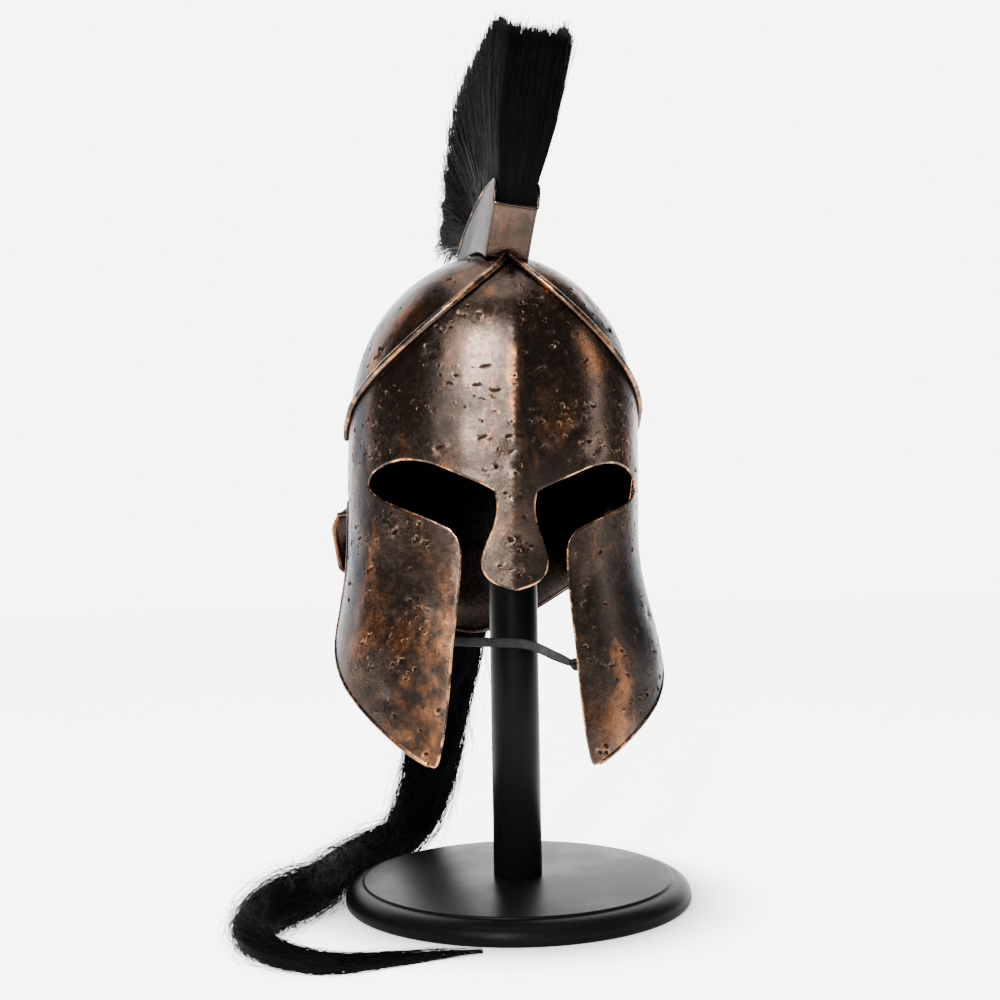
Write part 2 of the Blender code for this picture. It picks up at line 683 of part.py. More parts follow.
def crest_line(place):
    """One hair line of the crest: its (y, z, half-width, middle, share) from root to tip."""
    lean_root, lean_tip, length, width, aside = (hermite(CREST_ROWS, place, k) for k in range(1, 6))
    front = BOX_FRONT_Y + 1.2 * SHEET + HAIR_GAP + 0.001
    root_y = front + place * CREST_ROOT_SHARE * BOX_LENGTH
    root_z = dome_top(root_y) + BOX_GAP + HAIR_GAP + 0.0006
    reach = 0.5 * length * CREST_HEIGHT
    bend = (root_y + reach * sin(radians(lean_root)), root_z + reach * cos(radians(lean_root)))
    tip = (bend[0] + reach * sin(radians(lean_tip)), bend[1] + reach * cos(radians(lean_tip)))
    held = BOX_HALF_WIDTH - SHEET - HAIR_GAP
    line = []
    for u in (0.0, 0.20, 0.42, 0.60, 0.80, 0.95, 1.0):
        y = (1 - u) ** 2 * root_y + 2 * u * (1 - u) * bend[0] + u * u * tip[0]
        z = (1 - u) ** 2 * root_z + 2 * u * (1 - u) * bend[1] + u * u * tip[1]
        spread = min(max((u - 0.42) / 0.50, 0.0), 1.0)
        half = held + (width * CREST_HALF_WIDTH - held) * spread * (2 - spread)
        middle = aside * CREST_HALF_WIDTH * spread * spread
        line.append((y, z, half * (0.72 if u == 1.0 else 1.0), middle, u))
    return line


def make_crest(parts, hair, crest_frame):
    """The upright crest: hair lines side by side, swelling into locks towards their tips."""
    count = 2 * CREST_LOCKS + 1
    lines = []
    for k in range(count):
        valley = k % 2 == 0 and 0 < k < count - 1
        line = []
        for y, z, half, middle, u in crest_line(k / (count - 1)):
            lock = 1.0 - (CREST_LOCK_DEPTH * min(u / 0.5, 1.0) if valley else 0.0)
            line.append((y, z, half * lock, middle))
        if valley:
            (y1, z1, _, middle), (y0, z0, half, _) = line[-1], line[-2]
            line[-1] = (y0 + 0.45 * (y1 - y0), z0 + 0.45 * (z1 - z0), half * 0.8, middle)
        lines.append(line)
    rows = len(lines[0])
    vertices = [
        (middle + side * half, y, z)
        for side in (-1, 1) for line in lines for y, z, half, middle in line
    ]
    far = count * rows
    faces = []
    for k in range(count - 1):
        for r in range(rows - 1):
            a, b, c, d = k * rows + r, k * rows + r + 1, (k + 1) * rows + r + 1, (k + 1) * rows + r
            faces.append((a, b, c, d))
            faces.append((far + a, far + d, far + c, far + b))
    border = [k * rows for k in range(count)]
    border += [(count - 1) * rows + r for r in range(1, rows)]
    border += [k * rows + rows - 1 for k in reversed(range(count - 1))]
    border += [r for r in reversed(range(1, rows - 1))]
    for a, b in zip(border, border[1:] + border[:1]):
        faces.append((a, b, far + b, far + a))
    crest = add_mesh("crest_hair", vertices, faces, parts, hair, crest_frame, False)
    face_out(crest)
    return crest


def face_out(thing):
    """Turn every face of a closed mesh outwards."""
    work = bmesh.new()
    work.from_mesh(thing.data)
    bmesh.ops.recalc_face_normals(work, faces=work.faces)
    work.to_mesh(thing.data)
    work.free()


def sweep(name, stations, profile, parts, material):
    """A closed body along stations of (point, outer side, half-width, half-thickness)."""
    vertices, faces = [], []
    last = len(stations) - 1
    sides = 0
    for k, (point, outer, half_width, half_depth, turn) in enumerate(stations):
        along = (stations[min(k + 1, last)][0] - stations[max(k - 1, 0)][0]).normalized()
        outer = (outer - along * outer.dot(along)).normalized()
        across = along.cross(outer)
        ring = profile(turn)
        sides = len(ring)
        for u, v in ring:
            vertices.append(point + across * (u * half_width) + outer * (v * half_depth))
    for k in range(last):
        for n in range(sides):
            m = (n + 1) % sides
            faces.append((k * sides + n, k * sides + m, (k + 1) * sides + m, (k + 1) * sides + n))
    faces.append(list(reversed(range(sides))))
    faces.append([last * sides + n for n in range(sides)])
    body = add_mesh(name, vertices, faces, parts, material, None, False)
    face_out(body)
    return body


def lock_profile(turn):
    """An oval bundle whose locks wind slowly round it."""
    ring = []
    sides = 2 * TAIL_LOCKS
    for n in range(sides):
        angle = 2 * pi * n / sides + radians(turn)
        swell = 1.0 if n % 2 else 1.0 - TAIL_LOCK_DEPTH
        ring.append((swell * cos(angle), swell * sin(angle)))
    return ring


def make_tail(parts, hair, helmet_matrix):
    """The tail: out of the crest box, down the back, and along the floor round the base."""
    rows = []
    for k, (back, up, width, depth, lean) in enumerate(TAIL_ON_HELMET):
        start_y = BOX_FRONT_Y + BOX_LENGTH + TAIL_START_GAP
        y = start_y if k == 0 else CENTRE_Y + back * DOME_BACK
        spot = helmet_matrix @ Vector((0.0, y, EQUATOR_Z + up * DOME_RISE))
        rows.append((*spot, width, depth, lean))
    for x, y, width, depth, lean, z in TAIL_ROUTE:
        lying = depth * TAIL_HALF_WIDTH + FLOOR_GAP
        rows.append((x, y, lying if z is None else z, width, depth, lean))
    path = spline_through(rows, 2)
    stations = []
    for k, (x, y, z, width, depth, lean) in enumerate(path):
        outer = Vector((0.0, cos(radians(lean)), sin(radians(lean))))
        half_depth = depth * TAIL_HALF_WIDTH
        z = max(z, half_depth + FLOOR_GAP)
        turn = TAIL_TWIST * k / (len(path) - 1)
        stations.append((Vector((x, y, z)), outer, width * TAIL_HALF_WIDTH, half_depth, turn))
    return sweep("tail_hair", stations, lock_profile, parts, hair)


# Chin strap

def band_profile(_turn):
    """A flat band."""
    return [(-1, -1), (1, -1), (1, 1), (-1, 1)]


def make_strap(parts, leather, helmet_matrix):
    """The chin strap: riveted inside both cheek plates, knotted beside the left one."""
    out = PLATE_GAP - STRAP_GAP - 0.5 * STRAP_THICKNESS
    cheek = [(a, EQUATOR_Z - drop * SKIRT_DROP) for a, drop in STRAP_ON_CHEEK]

    def beside_plate(around, z):
        spot = on_form(around, z, out)
        spot.x += cheek_lean(spot)
        return spot, on_form(around, z, 0.001) - bare_form(around, z), 0.0

    points = [beside_plate(-a, z) for a, z in cheek]
    for across, y, drop in STRAP_FREE:
        spot = Vector((across * DOME_HALF_WIDTH, y, EQUATOR_Z - drop * SKIRT_DROP))
        knot = 1.0 if across == KNOT_PLACE else 0.0
        points.append((spot, Vector((0.3 * across, -1.0, 0.0)), knot))
    points += [beside_plate(a, z) for a, z in reversed(cheek)]
    rows = [(*spot, *outer.normalized(), knot) for spot, outer, knot in points]
    stations = []
    for x, y, z, u, v, w, knot in spline_through(rows, 3):
        lump = max(knot, 0.0) ** 2
        half_depth = 0.5 * STRAP_THICKNESS + lump * (KNOT_RADIUS - 0.5 * STRAP_THICKNESS)
        half_width = 0.5 * STRAP_WIDTH + lump * (KNOT_RADIUS - 0.5 * STRAP_WIDTH)
        turned = helmet_matrix.to_3x3() @ Vector((u, v, w))
        stations.append((helmet_matrix @ Vector((x, y, z)), turned, half_width, half_depth, 0.0))
    return sweep("chin_strap", stations, band_profile, parts, leather)


# Turned wooden stand

def turned(name, profile, parts, material):
    """A turned body from (radius, height) points, from the top of its axis to the bottom."""
    body = add_mesh(
        name, [(r, 0.0, z) for r, z in profile], [], parts, material, None, False,
    )
    body.data.edges.add(len(profile) - 1)
    for k in range(len(profile) - 1):
        body.data.edges[k].vertices = (k, k + 1)
    screw = body.modifiers.new("turned", "SCREW")
    screw.steps = TURNED_STEPS
    screw.render_steps = TURNED_STEPS
    screw.use_merge_vertices = True
    screw.merge_threshold = 0.00005
    screw.use_smooth_shade = True
    return body


def head_height(helmet_matrix):
    """Height of the rounded head's centre, where it touches the inside of the dome."""
    inside = []
    for around in range(-180, 180, 6):
        for q in range(0, 91, 3):
            inside.append(helmet_matrix @ on_form(around, skull_drop(q), -SHEET))
    low, high = EQUATOR_Z - 0.05, EQUATOR_Z + DOME_RISE
    for _ in range(30):
        middle = 0.5 * (low + high)
        centre = Vector((0.0, 0.0, middle))
        if min((p - centre).length for p in inside) < HEAD_RADIUS + HEAD_GAP:
            high = middle
        else:
            low = middle
    return low


def make_stand(parts, wood, helmet_matrix):
    """Round base with a moulded edge, round post, and the rounded head inside the dome."""
    shoulder = BASE_RADIUS - BASE_EDGE
    step_z = BASE_HEIGHT - BASE_STEP
    profile = [(0.0, BASE_HEIGHT), (shoulder - 0.0008, BASE_HEIGHT), (shoulder, BASE_HEIGHT - 0.0007)]
    profile += [(shoulder + 0.0006, step_z)]
    reach, fall = BASE_EDGE - 0.0006, step_z - 0.0045
    for k in range(1, 6):
        angle = pi / 2 * k / 5
        profile.append((shoulder + 0.0006 + reach * sin(angle), 0.0045 + fall * cos(angle)))
    profile += [(BASE_RADIUS, 0.0020), (BASE_RADIUS - 0.0015, 0.0), (0.0, 0.0)]
    turned("stand_base", profile, parts, wood)

    centre_z = head_height(helmet_matrix)
    foot_radius = POST_RADIUS + 0.003
    flat = centre_z - sqrt(HEAD_RADIUS**2 - foot_radius**2)
    start = atan2(foot_radius, centre_z - flat)
    ball = [(0.0, centre_z + HEAD_RADIUS)]
    for k in range(1, 10):
        angle = (pi - start) * k / 9
        ball.append((HEAD_RADIUS * sin(angle), centre_z + HEAD_RADIUS * cos(angle)))
    turned("stand_head", ball + [(0.0, flat)], parts, wood)

    low, high = BASE_HEIGHT + SEAT_GAP, flat - SEAT_GAP
    bpy.ops.mesh.primitive_cylinder_add(
        vertices=36, radius=POST_RADIUS, depth=high - low, location=(0.0, 0.0, 0.5 * (low + high)),
    )
    post = bpy.context.active_object
    post.name = post.data.name = "stand_post"
    post.data.materials.append(wood)
    post.data.shade_smooth()
    post.data.set_sharp_from_angle(angle=radians(40))
    for owner in list(post.users_collection):
        owner.objects.unlink(post)
    parts.objects.link(post)


def placing_empty(name, matrix, parts, parent=None):
    """An empty that places what is parented to it."""
    frame = bpy.data.objects.new(name, None)
    parts.objects.link(frame)
    frame.parent = parent
    frame.matrix_local = matrix
    bpy.context.view_layer.update()
    return frame


def roll_about(height_z, degrees_over):
    """A roll about the Y axis through a height on the axis."""
    pivot = Matrix.Translation((0.0, 0.0, height_z))
    return pivot @ Matrix.Rotation(radians(degrees_over), 4, "Y") @ pivot.inverted()


def main():
    parts, cutters = empty_scene()
    bronze = finish("aged_bronze", (0.16, 0.095, 0.058), 1.0, 0.42)
    hair = finish("black_horsehair", (0.012, 0.011, 0.011), 0.0, 0.55)
    leather = finish("black_leather", (0.020, 0.018, 0.017), 0.0, 0.6)
    wood = finish("black_lacquered_wood", (0.012, 0.012, 0.013), 0.0, 0.35)

    helmet_matrix = Matrix.Translation((HELMET_X, 0.0, 0.0)) @ roll_about(ROLL_HEIGHT, HELMET_ROLL)
    frame = placing_empty("helmet_on_stand", helmet_matrix, parts)
    crest_frame = placing_empty("crest_on_helmet", roll_about(CREST_PIVOT_Z, CREST_ROLL), parts, frame)

    make_skull(parts, cutters, bronze, frame)
    make_face_plate(parts, cutters, bronze, frame)
    make_crest_box(parts, cutters, bronze, frame, crest_frame)
    make_crest(parts, hair, crest_frame)
    make_tail(parts, hair, helmet_matrix)
    make_strap(parts, leather, helmet_matrix)
    make_stand(parts, wood, helmet_matrix)


main()
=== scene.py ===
"""Looks of the Greek bronze helmet with its horsehair crest and tail, on a plain black stand."""

from math import atan2, ceil, cos, hypot, pi, radians, sin, sqrt

import bmesh
import bpy
import numpy as np
from mathutils import Matrix, Vector, noise
from mathutils.geometry import delaunay_2d_cdt


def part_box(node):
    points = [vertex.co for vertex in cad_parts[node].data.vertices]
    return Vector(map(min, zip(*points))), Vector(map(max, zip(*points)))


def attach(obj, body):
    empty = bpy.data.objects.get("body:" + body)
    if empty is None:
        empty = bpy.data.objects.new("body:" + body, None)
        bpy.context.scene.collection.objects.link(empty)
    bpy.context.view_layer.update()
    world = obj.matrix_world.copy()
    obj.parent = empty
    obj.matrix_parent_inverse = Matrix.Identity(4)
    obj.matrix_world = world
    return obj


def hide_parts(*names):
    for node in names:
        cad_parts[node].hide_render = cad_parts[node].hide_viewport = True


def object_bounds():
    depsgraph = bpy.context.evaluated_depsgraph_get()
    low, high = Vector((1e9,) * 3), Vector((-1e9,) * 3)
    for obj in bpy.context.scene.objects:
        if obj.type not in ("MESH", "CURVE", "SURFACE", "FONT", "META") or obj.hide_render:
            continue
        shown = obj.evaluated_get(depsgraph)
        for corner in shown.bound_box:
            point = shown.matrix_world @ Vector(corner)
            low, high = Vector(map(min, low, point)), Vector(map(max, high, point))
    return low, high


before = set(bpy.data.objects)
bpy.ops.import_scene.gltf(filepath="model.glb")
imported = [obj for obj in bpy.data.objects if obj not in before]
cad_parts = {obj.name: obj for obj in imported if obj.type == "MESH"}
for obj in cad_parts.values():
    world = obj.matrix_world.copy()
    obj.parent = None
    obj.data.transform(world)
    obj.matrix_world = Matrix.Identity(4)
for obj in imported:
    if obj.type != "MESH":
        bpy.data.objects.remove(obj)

CAD_BOX = [list(corner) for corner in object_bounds()]
rng = np.random.default_rng(41)

# Gaps between pieces
PLATE_GAP = 0.0008
BOX_GAP = 0.0007
STRAP_GAP = 0.0016

# Turned stand
BASE_RADIUS = 0.120
BASE_EDGE = 0.0124
BASE_HEIGHT = 0.0154
BASE_STEP = 0.0016
POST_RADIUS = 0.017
SEAT_GAP = 0.0003

# How the helmet sits on the stand
HELMET_X = -0.011
HELMET_ROLL = 1.2
ROLL_HEIGHT = 0.200

# Form of the sheet metal
EQUATOR_Z = 0.342
CENTRE_Y = 0.036
DOME_RISE = 0.115
DOME_HALF_WIDTH = 0.103
DOME_FRONT = 0.114
DOME_BACK = 0.112
SKIRT_HEIGHT = 0.242
SECTION_POWER = 2.2
FRONT_POWER = 2.5
KEEL_RISE = 0.0032
KEEL_HALF_WIDTH = 0.030
CHEEK_LEAN = 0.0045

# Sheet and rolled edges
SHEET = 0.0016
BROW_RIM_RADIUS = 0.0027
CHEEK_RIM_RADIUS = 0.0019
NECK_RIM_RADIUS = 0.0017
EAR_FLARE = 0.020
EAR_RADIUS = 0.025
EAR_FALLOFF = 0.011

# Crest box and crest
BOX_HALF_WIDTH = 0.0155
BOX_HEIGHT = 0.054
BOX_LENGTH = 0.085
BOX_FRONT_Y = -0.0305
BOX_FLARE = 0.012
CREST_ROLL = 6.0
CREST_PIVOT_Z = 0.440
CREST_ROOT_SHARE = 0.74
CREST_HEIGHT = 0.152
CREST_HALF_WIDTH = 0.028
HAIR_GAP = 0.0005

# Tail and strap
TAIL_HALF_WIDTH = 0.022
TAIL_START_GAP = 0.0008
STRAY_REACH = 0.015
FLOOR_GAP = 0.0006
STRAP_WIDTH = 0.0065
STRAP_THICKNESS = 0.0018
KNOT_RADIUS = 0.0038

# Mesh spacing of the worn sheet metal, and its marks
SHEET_SPACING = 0.0025
EDGE_SPACING = 0.0013
FACE_PITS = 500
SKULL_PITS = 420
DENT_DEPTH = 0.0011

SKIRT_ROWS = (
    (0.00, 1.000, 1.000, 1.000, 1.000),
    (0.17, 1.005, 0.995, 1.000, 1.010),
    (0.34, 1.005, 0.975, 0.970, 0.955),
    (0.46, 1.020, 0.965, 0.935, 0.910),
    (0.59, 1.075, 0.965, 0.940, 0.930),
    (0.68, 1.120, 0.972, 0.965, 0.985),
    (0.76, 1.140, 0.980, 1.000, 1.030),
    (0.88, 1.150, 1.000, 1.020, 1.060),
    (1.00, 1.145, 1.020, 1.030, 1.080),
)
BROW_LINE = (
    (0.0, 0.872), (6.0, 0.775), (13.5, 0.682), (28.0, 0.487), (41.0, 0.327),
    (54.0, 0.190), (67.0, 0.078), (79.0, -0.006), (88.0, -0.045), (92.5, -0.083),
)
CHEEK_REAR = (
    (92.5, -0.083), (89.5, -0.170), (86.0, -0.260), (84.0, -0.350), (84.0, -0.440),
    (86.0, -0.530), (87.5, -0.610), (86.5, -0.665),
)
CHEEK_LOWER = (
    (86.5, -0.665), (81.5, -0.715), (72.5, -0.770), (60.5, -0.828), (48.0, -0.885),
    (36.5, -0.940), (29.0, -0.975), (25.0, -0.990),
)
CHEEK_TIP = ((25.0, -0.990), (23.4, -0.990), (22.4, -0.972))
CHEEK_FRONT = (
    (22.4, -0.972), (20.6, -0.900), (19.2, -0.800), (18.4, -0.680), (17.8, -0.560),
    (17.4, -0.450), (18.2, -0.392), (21.5, -0.360),
)
EYE_LOWER = (
    (21.5, -0.360), (30.0, -0.332), (42.0, -0.302), (53.0, -0.273), (59.0, -0.250),
    (61.0, -0.226), (57.5, -0.198), (50.0, -0.177),
)
EYE_UPPER = (
    (50.0, -0.177), (40.0, -0.168), (29.0, -0.180), (18.0, -0.212), (10.0, -0.238), (5.9, -0.256),
)
NASAL_SIDE = (
    (5.9, -0.256), (5.3, -0.300), (6.3, -0.350), (8.6, -0.400), (9.9, -0.440),
    (9.2, -0.474), (6.0, -0.502), (0.0, -0.522),
)
SKULL_EDGE = (
    (0.0, 0.525), (20.0, 0.467), (40.0, 0.275), (60.0, 0.000), (78.0, -0.165), (84.0, -0.236),
    (87.0, -0.264), (90.0, -0.288), (94.0, -0.297), (99.0, -0.299), (103.0, -0.302), (106.0, -0.325),
    (108.5, -0.372), (109.5, -0.420),
    (111.5, -0.462), (116.0, -0.487), (130.0, -0.518), (150.0, -0.591), (165.0, -0.653), (180.0, -0.678),
)
EAR_CENTRE = (98.0, -0.430)
BOX_SIDE = ((0.00, -0.20), (0.00, 0.00), (-0.10, 0.32), (-0.22, 0.60))
BOX_TOP = (
    (-0.22, 0.60), (-0.21, 0.79), (-0.14, 0.94), (0.00, 1.00), (0.18, 1.00), (0.40, 0.94),
    (0.62, 0.80), (0.83, 0.60), (1.00, 0.34),
)
CREST_ROWS = (
    (0.00, -26.0, -18.0, 0.98, 0.72, 0.00),
    (0.20, -14.0, -9.0, 1.04, 0.82, -0.08),
    (0.40, -3.0, 1.0, 1.03, 0.92, -0.18),
    (0.58, 7.0, 14.0, 0.97, 1.00, -0.28),
    (0.74, 17.0, 32.0, 0.90, 1.08, -0.36),
    (0.87, 33.0, 60.0, 0.86, 1.10, -0.36),
    (1.00, 58.0, 96.0, 0.80, 1.02, -0.30),
)
TAIL_ON_HELMET = (
    (0.000, 1.058, 0.52, 0.26, 84.0),
    (0.440, 1.025, 0.64, 0.48, 70.0),
    (0.780, 0.805, 0.74, 0.56, 45.0),
    (1.048, 0.470, 0.84, 0.60, 22.0),
    (1.165, 0.025, 0.92, 0.62, 4.0),
    (1.195, -0.430, 1.00, 0.64, 0.0),
)
TAIL_ROUTE = (
    (-0.0150, 0.1690, 1.06, 0.66, 0.0, 0.2300),
    (-0.0240, 0.1680, 1.10, 0.66, 0.0, 0.1690),
    (-0.0370, 0.1660, 1.04, 0.66, -5.0, 0.1150),
    (-0.0475, 0.1590, 0.92, 0.68, -20.0, 0.0620),
    (-0.0590, 0.1500, 0.80, 0.66, -50.0, 0.0310),
    (-0.0770, 0.1330, 0.66, 0.60, -80.0, None),
    (-0.0985, 0.1040, 0.58, 0.56, -90.0, None),
    (-0.1175, 0.0690, 0.54, 0.55, -90.0, None),
    (-0.1300, 0.0360, 0.54, 0.56, -90.0, None),
    (-0.1385, 0.0000, 0.66, 0.62, -90.0, None),
    (-0.1495, -0.0250, 0.88, 0.72, -90.0, None),
    (-0.1610, -0.0465, 1.00, 0.76, -90.0, None),
    (-0.1730, -0.0665, 0.88, 0.68, -90.0, None),
    (-0.1795, -0.0910, 0.64, 0.54, -90.0, None),
    (-0.1715, -0.1165, 0.46, 0.42, -90.0, None),
    (-0.1540, -0.1355, 0.37, 0.34, -90.0, None),
    (-0.1325, -0.1450, 0.31, 0.27, -90.0, None),
    (-0.1125, -0.1430, 0.25, 0.22, -90.0, None),
    (-0.0905, -0.1375, 0.19, 0.17, -90.0, None),
    (-0.0665, -0.1300, 0.13, 0.12, -90.0, None),
    (-0.0420, -0.1250, 0.06, 0.06, -90.0, None),
)
STRAP_ON_CHEEK = ((79.0, 0.380), (77.0, 0.470), (70.0, 0.560), (58.0, 0.620), (46.0, 0.645))
STRAP_FREE = (
    (-0.52, -0.0440, 0.655), (-0.32, -0.0350, 0.668), (-0.08, -0.0310, 0.673),
    (0.16, -0.0310, 0.680), (0.34, -0.0370, 0.712), (0.455, -0.0440, 0.730), (0.57, -0.0480, 0.715),
)
KNOT_PLACE = 0.455

# Camera, as the photograph was taken
CAMERA_PLACE = (-0.1396, -0.8812, 0.2327)
CAMERA_HEADING = -8.473
CAMERA_PITCH = 2.911
CAMERA_ROLL = -0.963
CAMERA_LENS = 45.2

# Studio brightness
WORLD_BEHIND_CAMERA = 0.22
WORLD_BEHIND_HELMET = 7.0
# Strength of the floor's own glow, which is painted light.
FLOOR_GLOW = 5.6


# Readings from tables

def read_table(rows, place, column):
    """A column of a table, read smoothly at places given by its first column."""
    keys = np.array([row[0] for row in rows])
    values = np.array([row[column] for row in rows])
    place = np.clip(place, keys[0], keys[-1])
    last = len(keys) - 1
    i = np.clip(np.searchsorted(keys, place, side="right") - 1, 0, last - 1)
    span = keys[i + 1] - keys[i]
    u = (place - keys[i]) / span

    def slope(k):
        before, after = np.maximum(k - 1, 0), np.minimum(k + 1, last)
        return (values[after] - values[before]) / (keys[after] - keys[before]) * span

    return (
        (2 * u**3 - 3 * u**2 + 1) * values[i] + (u**3 - 2 * u**2 + u) * slope(i)
        + (3 * u**2 - 2 * u**3) * values[i + 1] + (u**3 - u**2) * slope(i + 1)
    )


def spline_through(points, pieces):
    """Smooth points through the given ones (tuples of numbers), some to each stretch."""
    ends = [points[0]] + list(points) + [points[-1]]
    smooth = []
    for a, b, c, d in zip(ends, ends[1:], ends[2:], ends[3:]):
        for step in range(pieces):
            u = step / pieces
            smooth.append(tuple(
                q + 0.5 * u * (r - p + u * (2 * p - 5 * q + 4 * r - s + u * (3 * (q - r) + s - p)))
                for p, q, r, s in zip(a, b, c, d)
            ))
    smooth.append(tuple(points[-1]))
    return smooth


def smoothstep(value, low, high):
    """0 below low, 1 above high, smooth between."""
    share = np.clip((value - low) / (high - low), 0.0, 1.0)
    return share * share * (3.0 - 2.0 * share)


# The form that the sheets are raised on

def height(share):
    """Height of a share of the dome's rise, or of the skirt's height if negative."""
    return EQUATOR_Z + np.asarray(share) * np.where(np.asarray(share) >= 0, DOME_RISE, SKIRT_HEIGHT)


def section(z):
    """Front half-width, front reach, back half-width and back reach of the form at heights."""
    rise = np.clip((z - EQUATOR_Z) / DOME_RISE, 0.0, 1.0)
    drop = np.clip((EQUATOR_Z - z) / SKIRT_HEIGHT, 0.0, 1.0)
    round_share = np.sqrt(1.0 - rise**2)
    full_share = np.maximum(1.0 - rise**FRONT_POWER, 0.0) ** (1.0 / FRONT_POWER)
    above = z >= EQUATOR_Z
    sizes = (DOME_HALF_WIDTH, DOME_FRONT, DOME_HALF_WIDTH, DOME_BACK)
    shares = (round_share, full_share, round_share, round_share)
    return [
        size * np.where(above, share, read_table(SKIRT_ROWS, drop, k + 1))
        for k, (size, share) in enumerate(zip(sizes, shares))
    ]


def form(around, z):
    """Points of the form: degrees round from the front (negative on -X) and heights."""
    around, z = np.broadcast_arrays(np.asarray(around, float), np.asarray(z, float))
    side = np.where(around < 0, -1.0, 1.0)
    degrees_round = np.abs(around)
    turn = np.radians(degrees_round)
    front_width, front_reach, back_width, back_reach = section(z)
    power = 2.0 / SECTION_POWER
    front = turn <= pi / 2
    across = np.maximum(np.sin(turn), 0.0) ** power
    x = np.where(front, front_width, back_width) * across
    along = np.abs(np.cos(turn)) ** power
    y = CENTRE_Y + np.where(front, -front_reach, back_reach) * along
    fade = np.clip((height(0.97) - z) / (0.25 * DOME_RISE), 0.0, 1.0)
    keel = KEEL_RISE * fade * np.clip(1.0 - x / KEEL_HALF_WIDTH, 0.0, 1.0) ** 2
    y = y - np.where(front, keel, 0.0)

    ear_round = np.radians(degrees_round - EAR_CENTRE[0]) * DOME_HALF_WIDTH
    distance = np.hypot(ear_round, z - height(EAR_CENTRE[1]))
    flare = np.exp(-((np.maximum(distance - EAR_RADIUS, 0.0) / EAR_FALLOFF) ** 2))
    x = x + np.where(front, 0.0, EAR_FLARE * smoothstep(degrees_round, 94.0, 102.0) * flare)
    drop = np.clip((EQUATOR_Z - z) / SKIRT_HEIGHT, 0.0, 1.0)
    wide = np.clip(x / DOME_HALF_WIDTH, 0.0, 1.0) ** 2
    lean = CHEEK_LEAN * wide * smoothstep(drop, 0.35, 0.75) * (1 - smoothstep(degrees_round, 92, 100))
    return np.stack([side * x + lean, y, z], axis=-1)


def form_normal(around, z):
    """Unit normals of the form, pointing out."""
    around, z = np.broadcast_arrays(np.asarray(around, float), np.asarray(z, float))
    step_up = 0.0004
    top = EQUATOR_Z + DOME_RISE
    z = np.minimum(z, top - 0.0002)
    along = form(around + 0.3, z) - form(around - 0.3, z)
    seam = np.abs(around) > 179.6
    along = np.where(seam[..., None], np.array([-1.0, 0.0, 0.0]), along)
    upward = form(around, np.minimum(z + step_up, top - 1e-5)) - form(around, z - step_up)
    normal = np.cross(along, upward)
    return normal / np.maximum(np.linalg.norm(normal, axis=-1, keepdims=True), 1e-12)


def on_form(around, z, out=0.0):
    """Points of the form, moved out along its normal."""
    return form(around, z) + form_normal(around, z) * np.asarray(out)[..., None]


def drawn_edge(table, spacing):
    """Points (degrees, height) along an edge table, about one spacing apart."""
    fine = np.array(spline_through(table, 24))
    z = height(fine[:, 1])
    x = np.radians(fine[:, 0]) * DOME_HALF_WIDTH
    run = np.concatenate([[0.0], np.cumsum(np.hypot(np.diff(x), np.diff(z)))])
    count = max(2, ceil(run[-1] / spacing))
    at = np.linspace(0.0, run[-1], count + 1)
    return np.stack([np.interp(at, run, fine[:, 0]), np.interp(at, run, z)], axis=1)


def roll_about(height_z, degrees_over):
    """A roll about the Y axis through a height on the axis."""
    pivot = Matrix.Translation((0.0, 0.0, height_z))
    return pivot @ Matrix.Rotation(radians(degrees_over), 4, "Y") @ pivot.inverted()


HELMET = Matrix.Translation((HELMET_X, 0.0, 0.0)) @ roll_about(ROLL_HEIGHT, HELMET_ROLL)
CREST = HELMET @ roll_about(CREST_PIVOT_Z, CREST_ROLL)


# Making pieces

def new_piece(name, vertices, faces, material, matrix=None, smooth=True, sharp=None):
    """A piece of the object, which rides on the one body."""
    mesh = bpy.data.meshes.new(name)
    mesh.from_pydata(np.asarray(vertices).tolist(), [], [list(map(int, f)) for f in faces])
    mesh.update()
    if smooth:
        mesh.shade_smooth()
    if sharp is not None:
        mesh.set_sharp_from_angle(angle=radians(sharp))
    piece = bpy.data.objects.new(name, mesh)
    bpy.context.scene.collection.objects.link(piece)
    if matrix is not None:
        piece.matrix_world = matrix
    mesh.materials.append(material)
    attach(piece, "root")
    return piece


def mark(piece, name, values):
    """A number for each vertex, which the material reads."""
    layer = piece.data.attributes.new(name, "FLOAT", "POINT")
    layer.data.foreach_set("value", np.asarray(values, np.float32))


def ripple(points, size, seed):
    """Smooth random numbers of about -1 to 1 over points."""
    shift = Vector((seed * 7.31, seed * 3.17, seed * 1.93))
    return np.array([noise.noise(Vector(p) / size + shift) for p in points.tolist()])


def wide_ripple(points, size, seed):
    """Random numbers with finer detail in them."""
    return ripple(points, size, seed) + 0.5 * ripple(points, size / 2.1, seed + 1)


# Pits and nicks

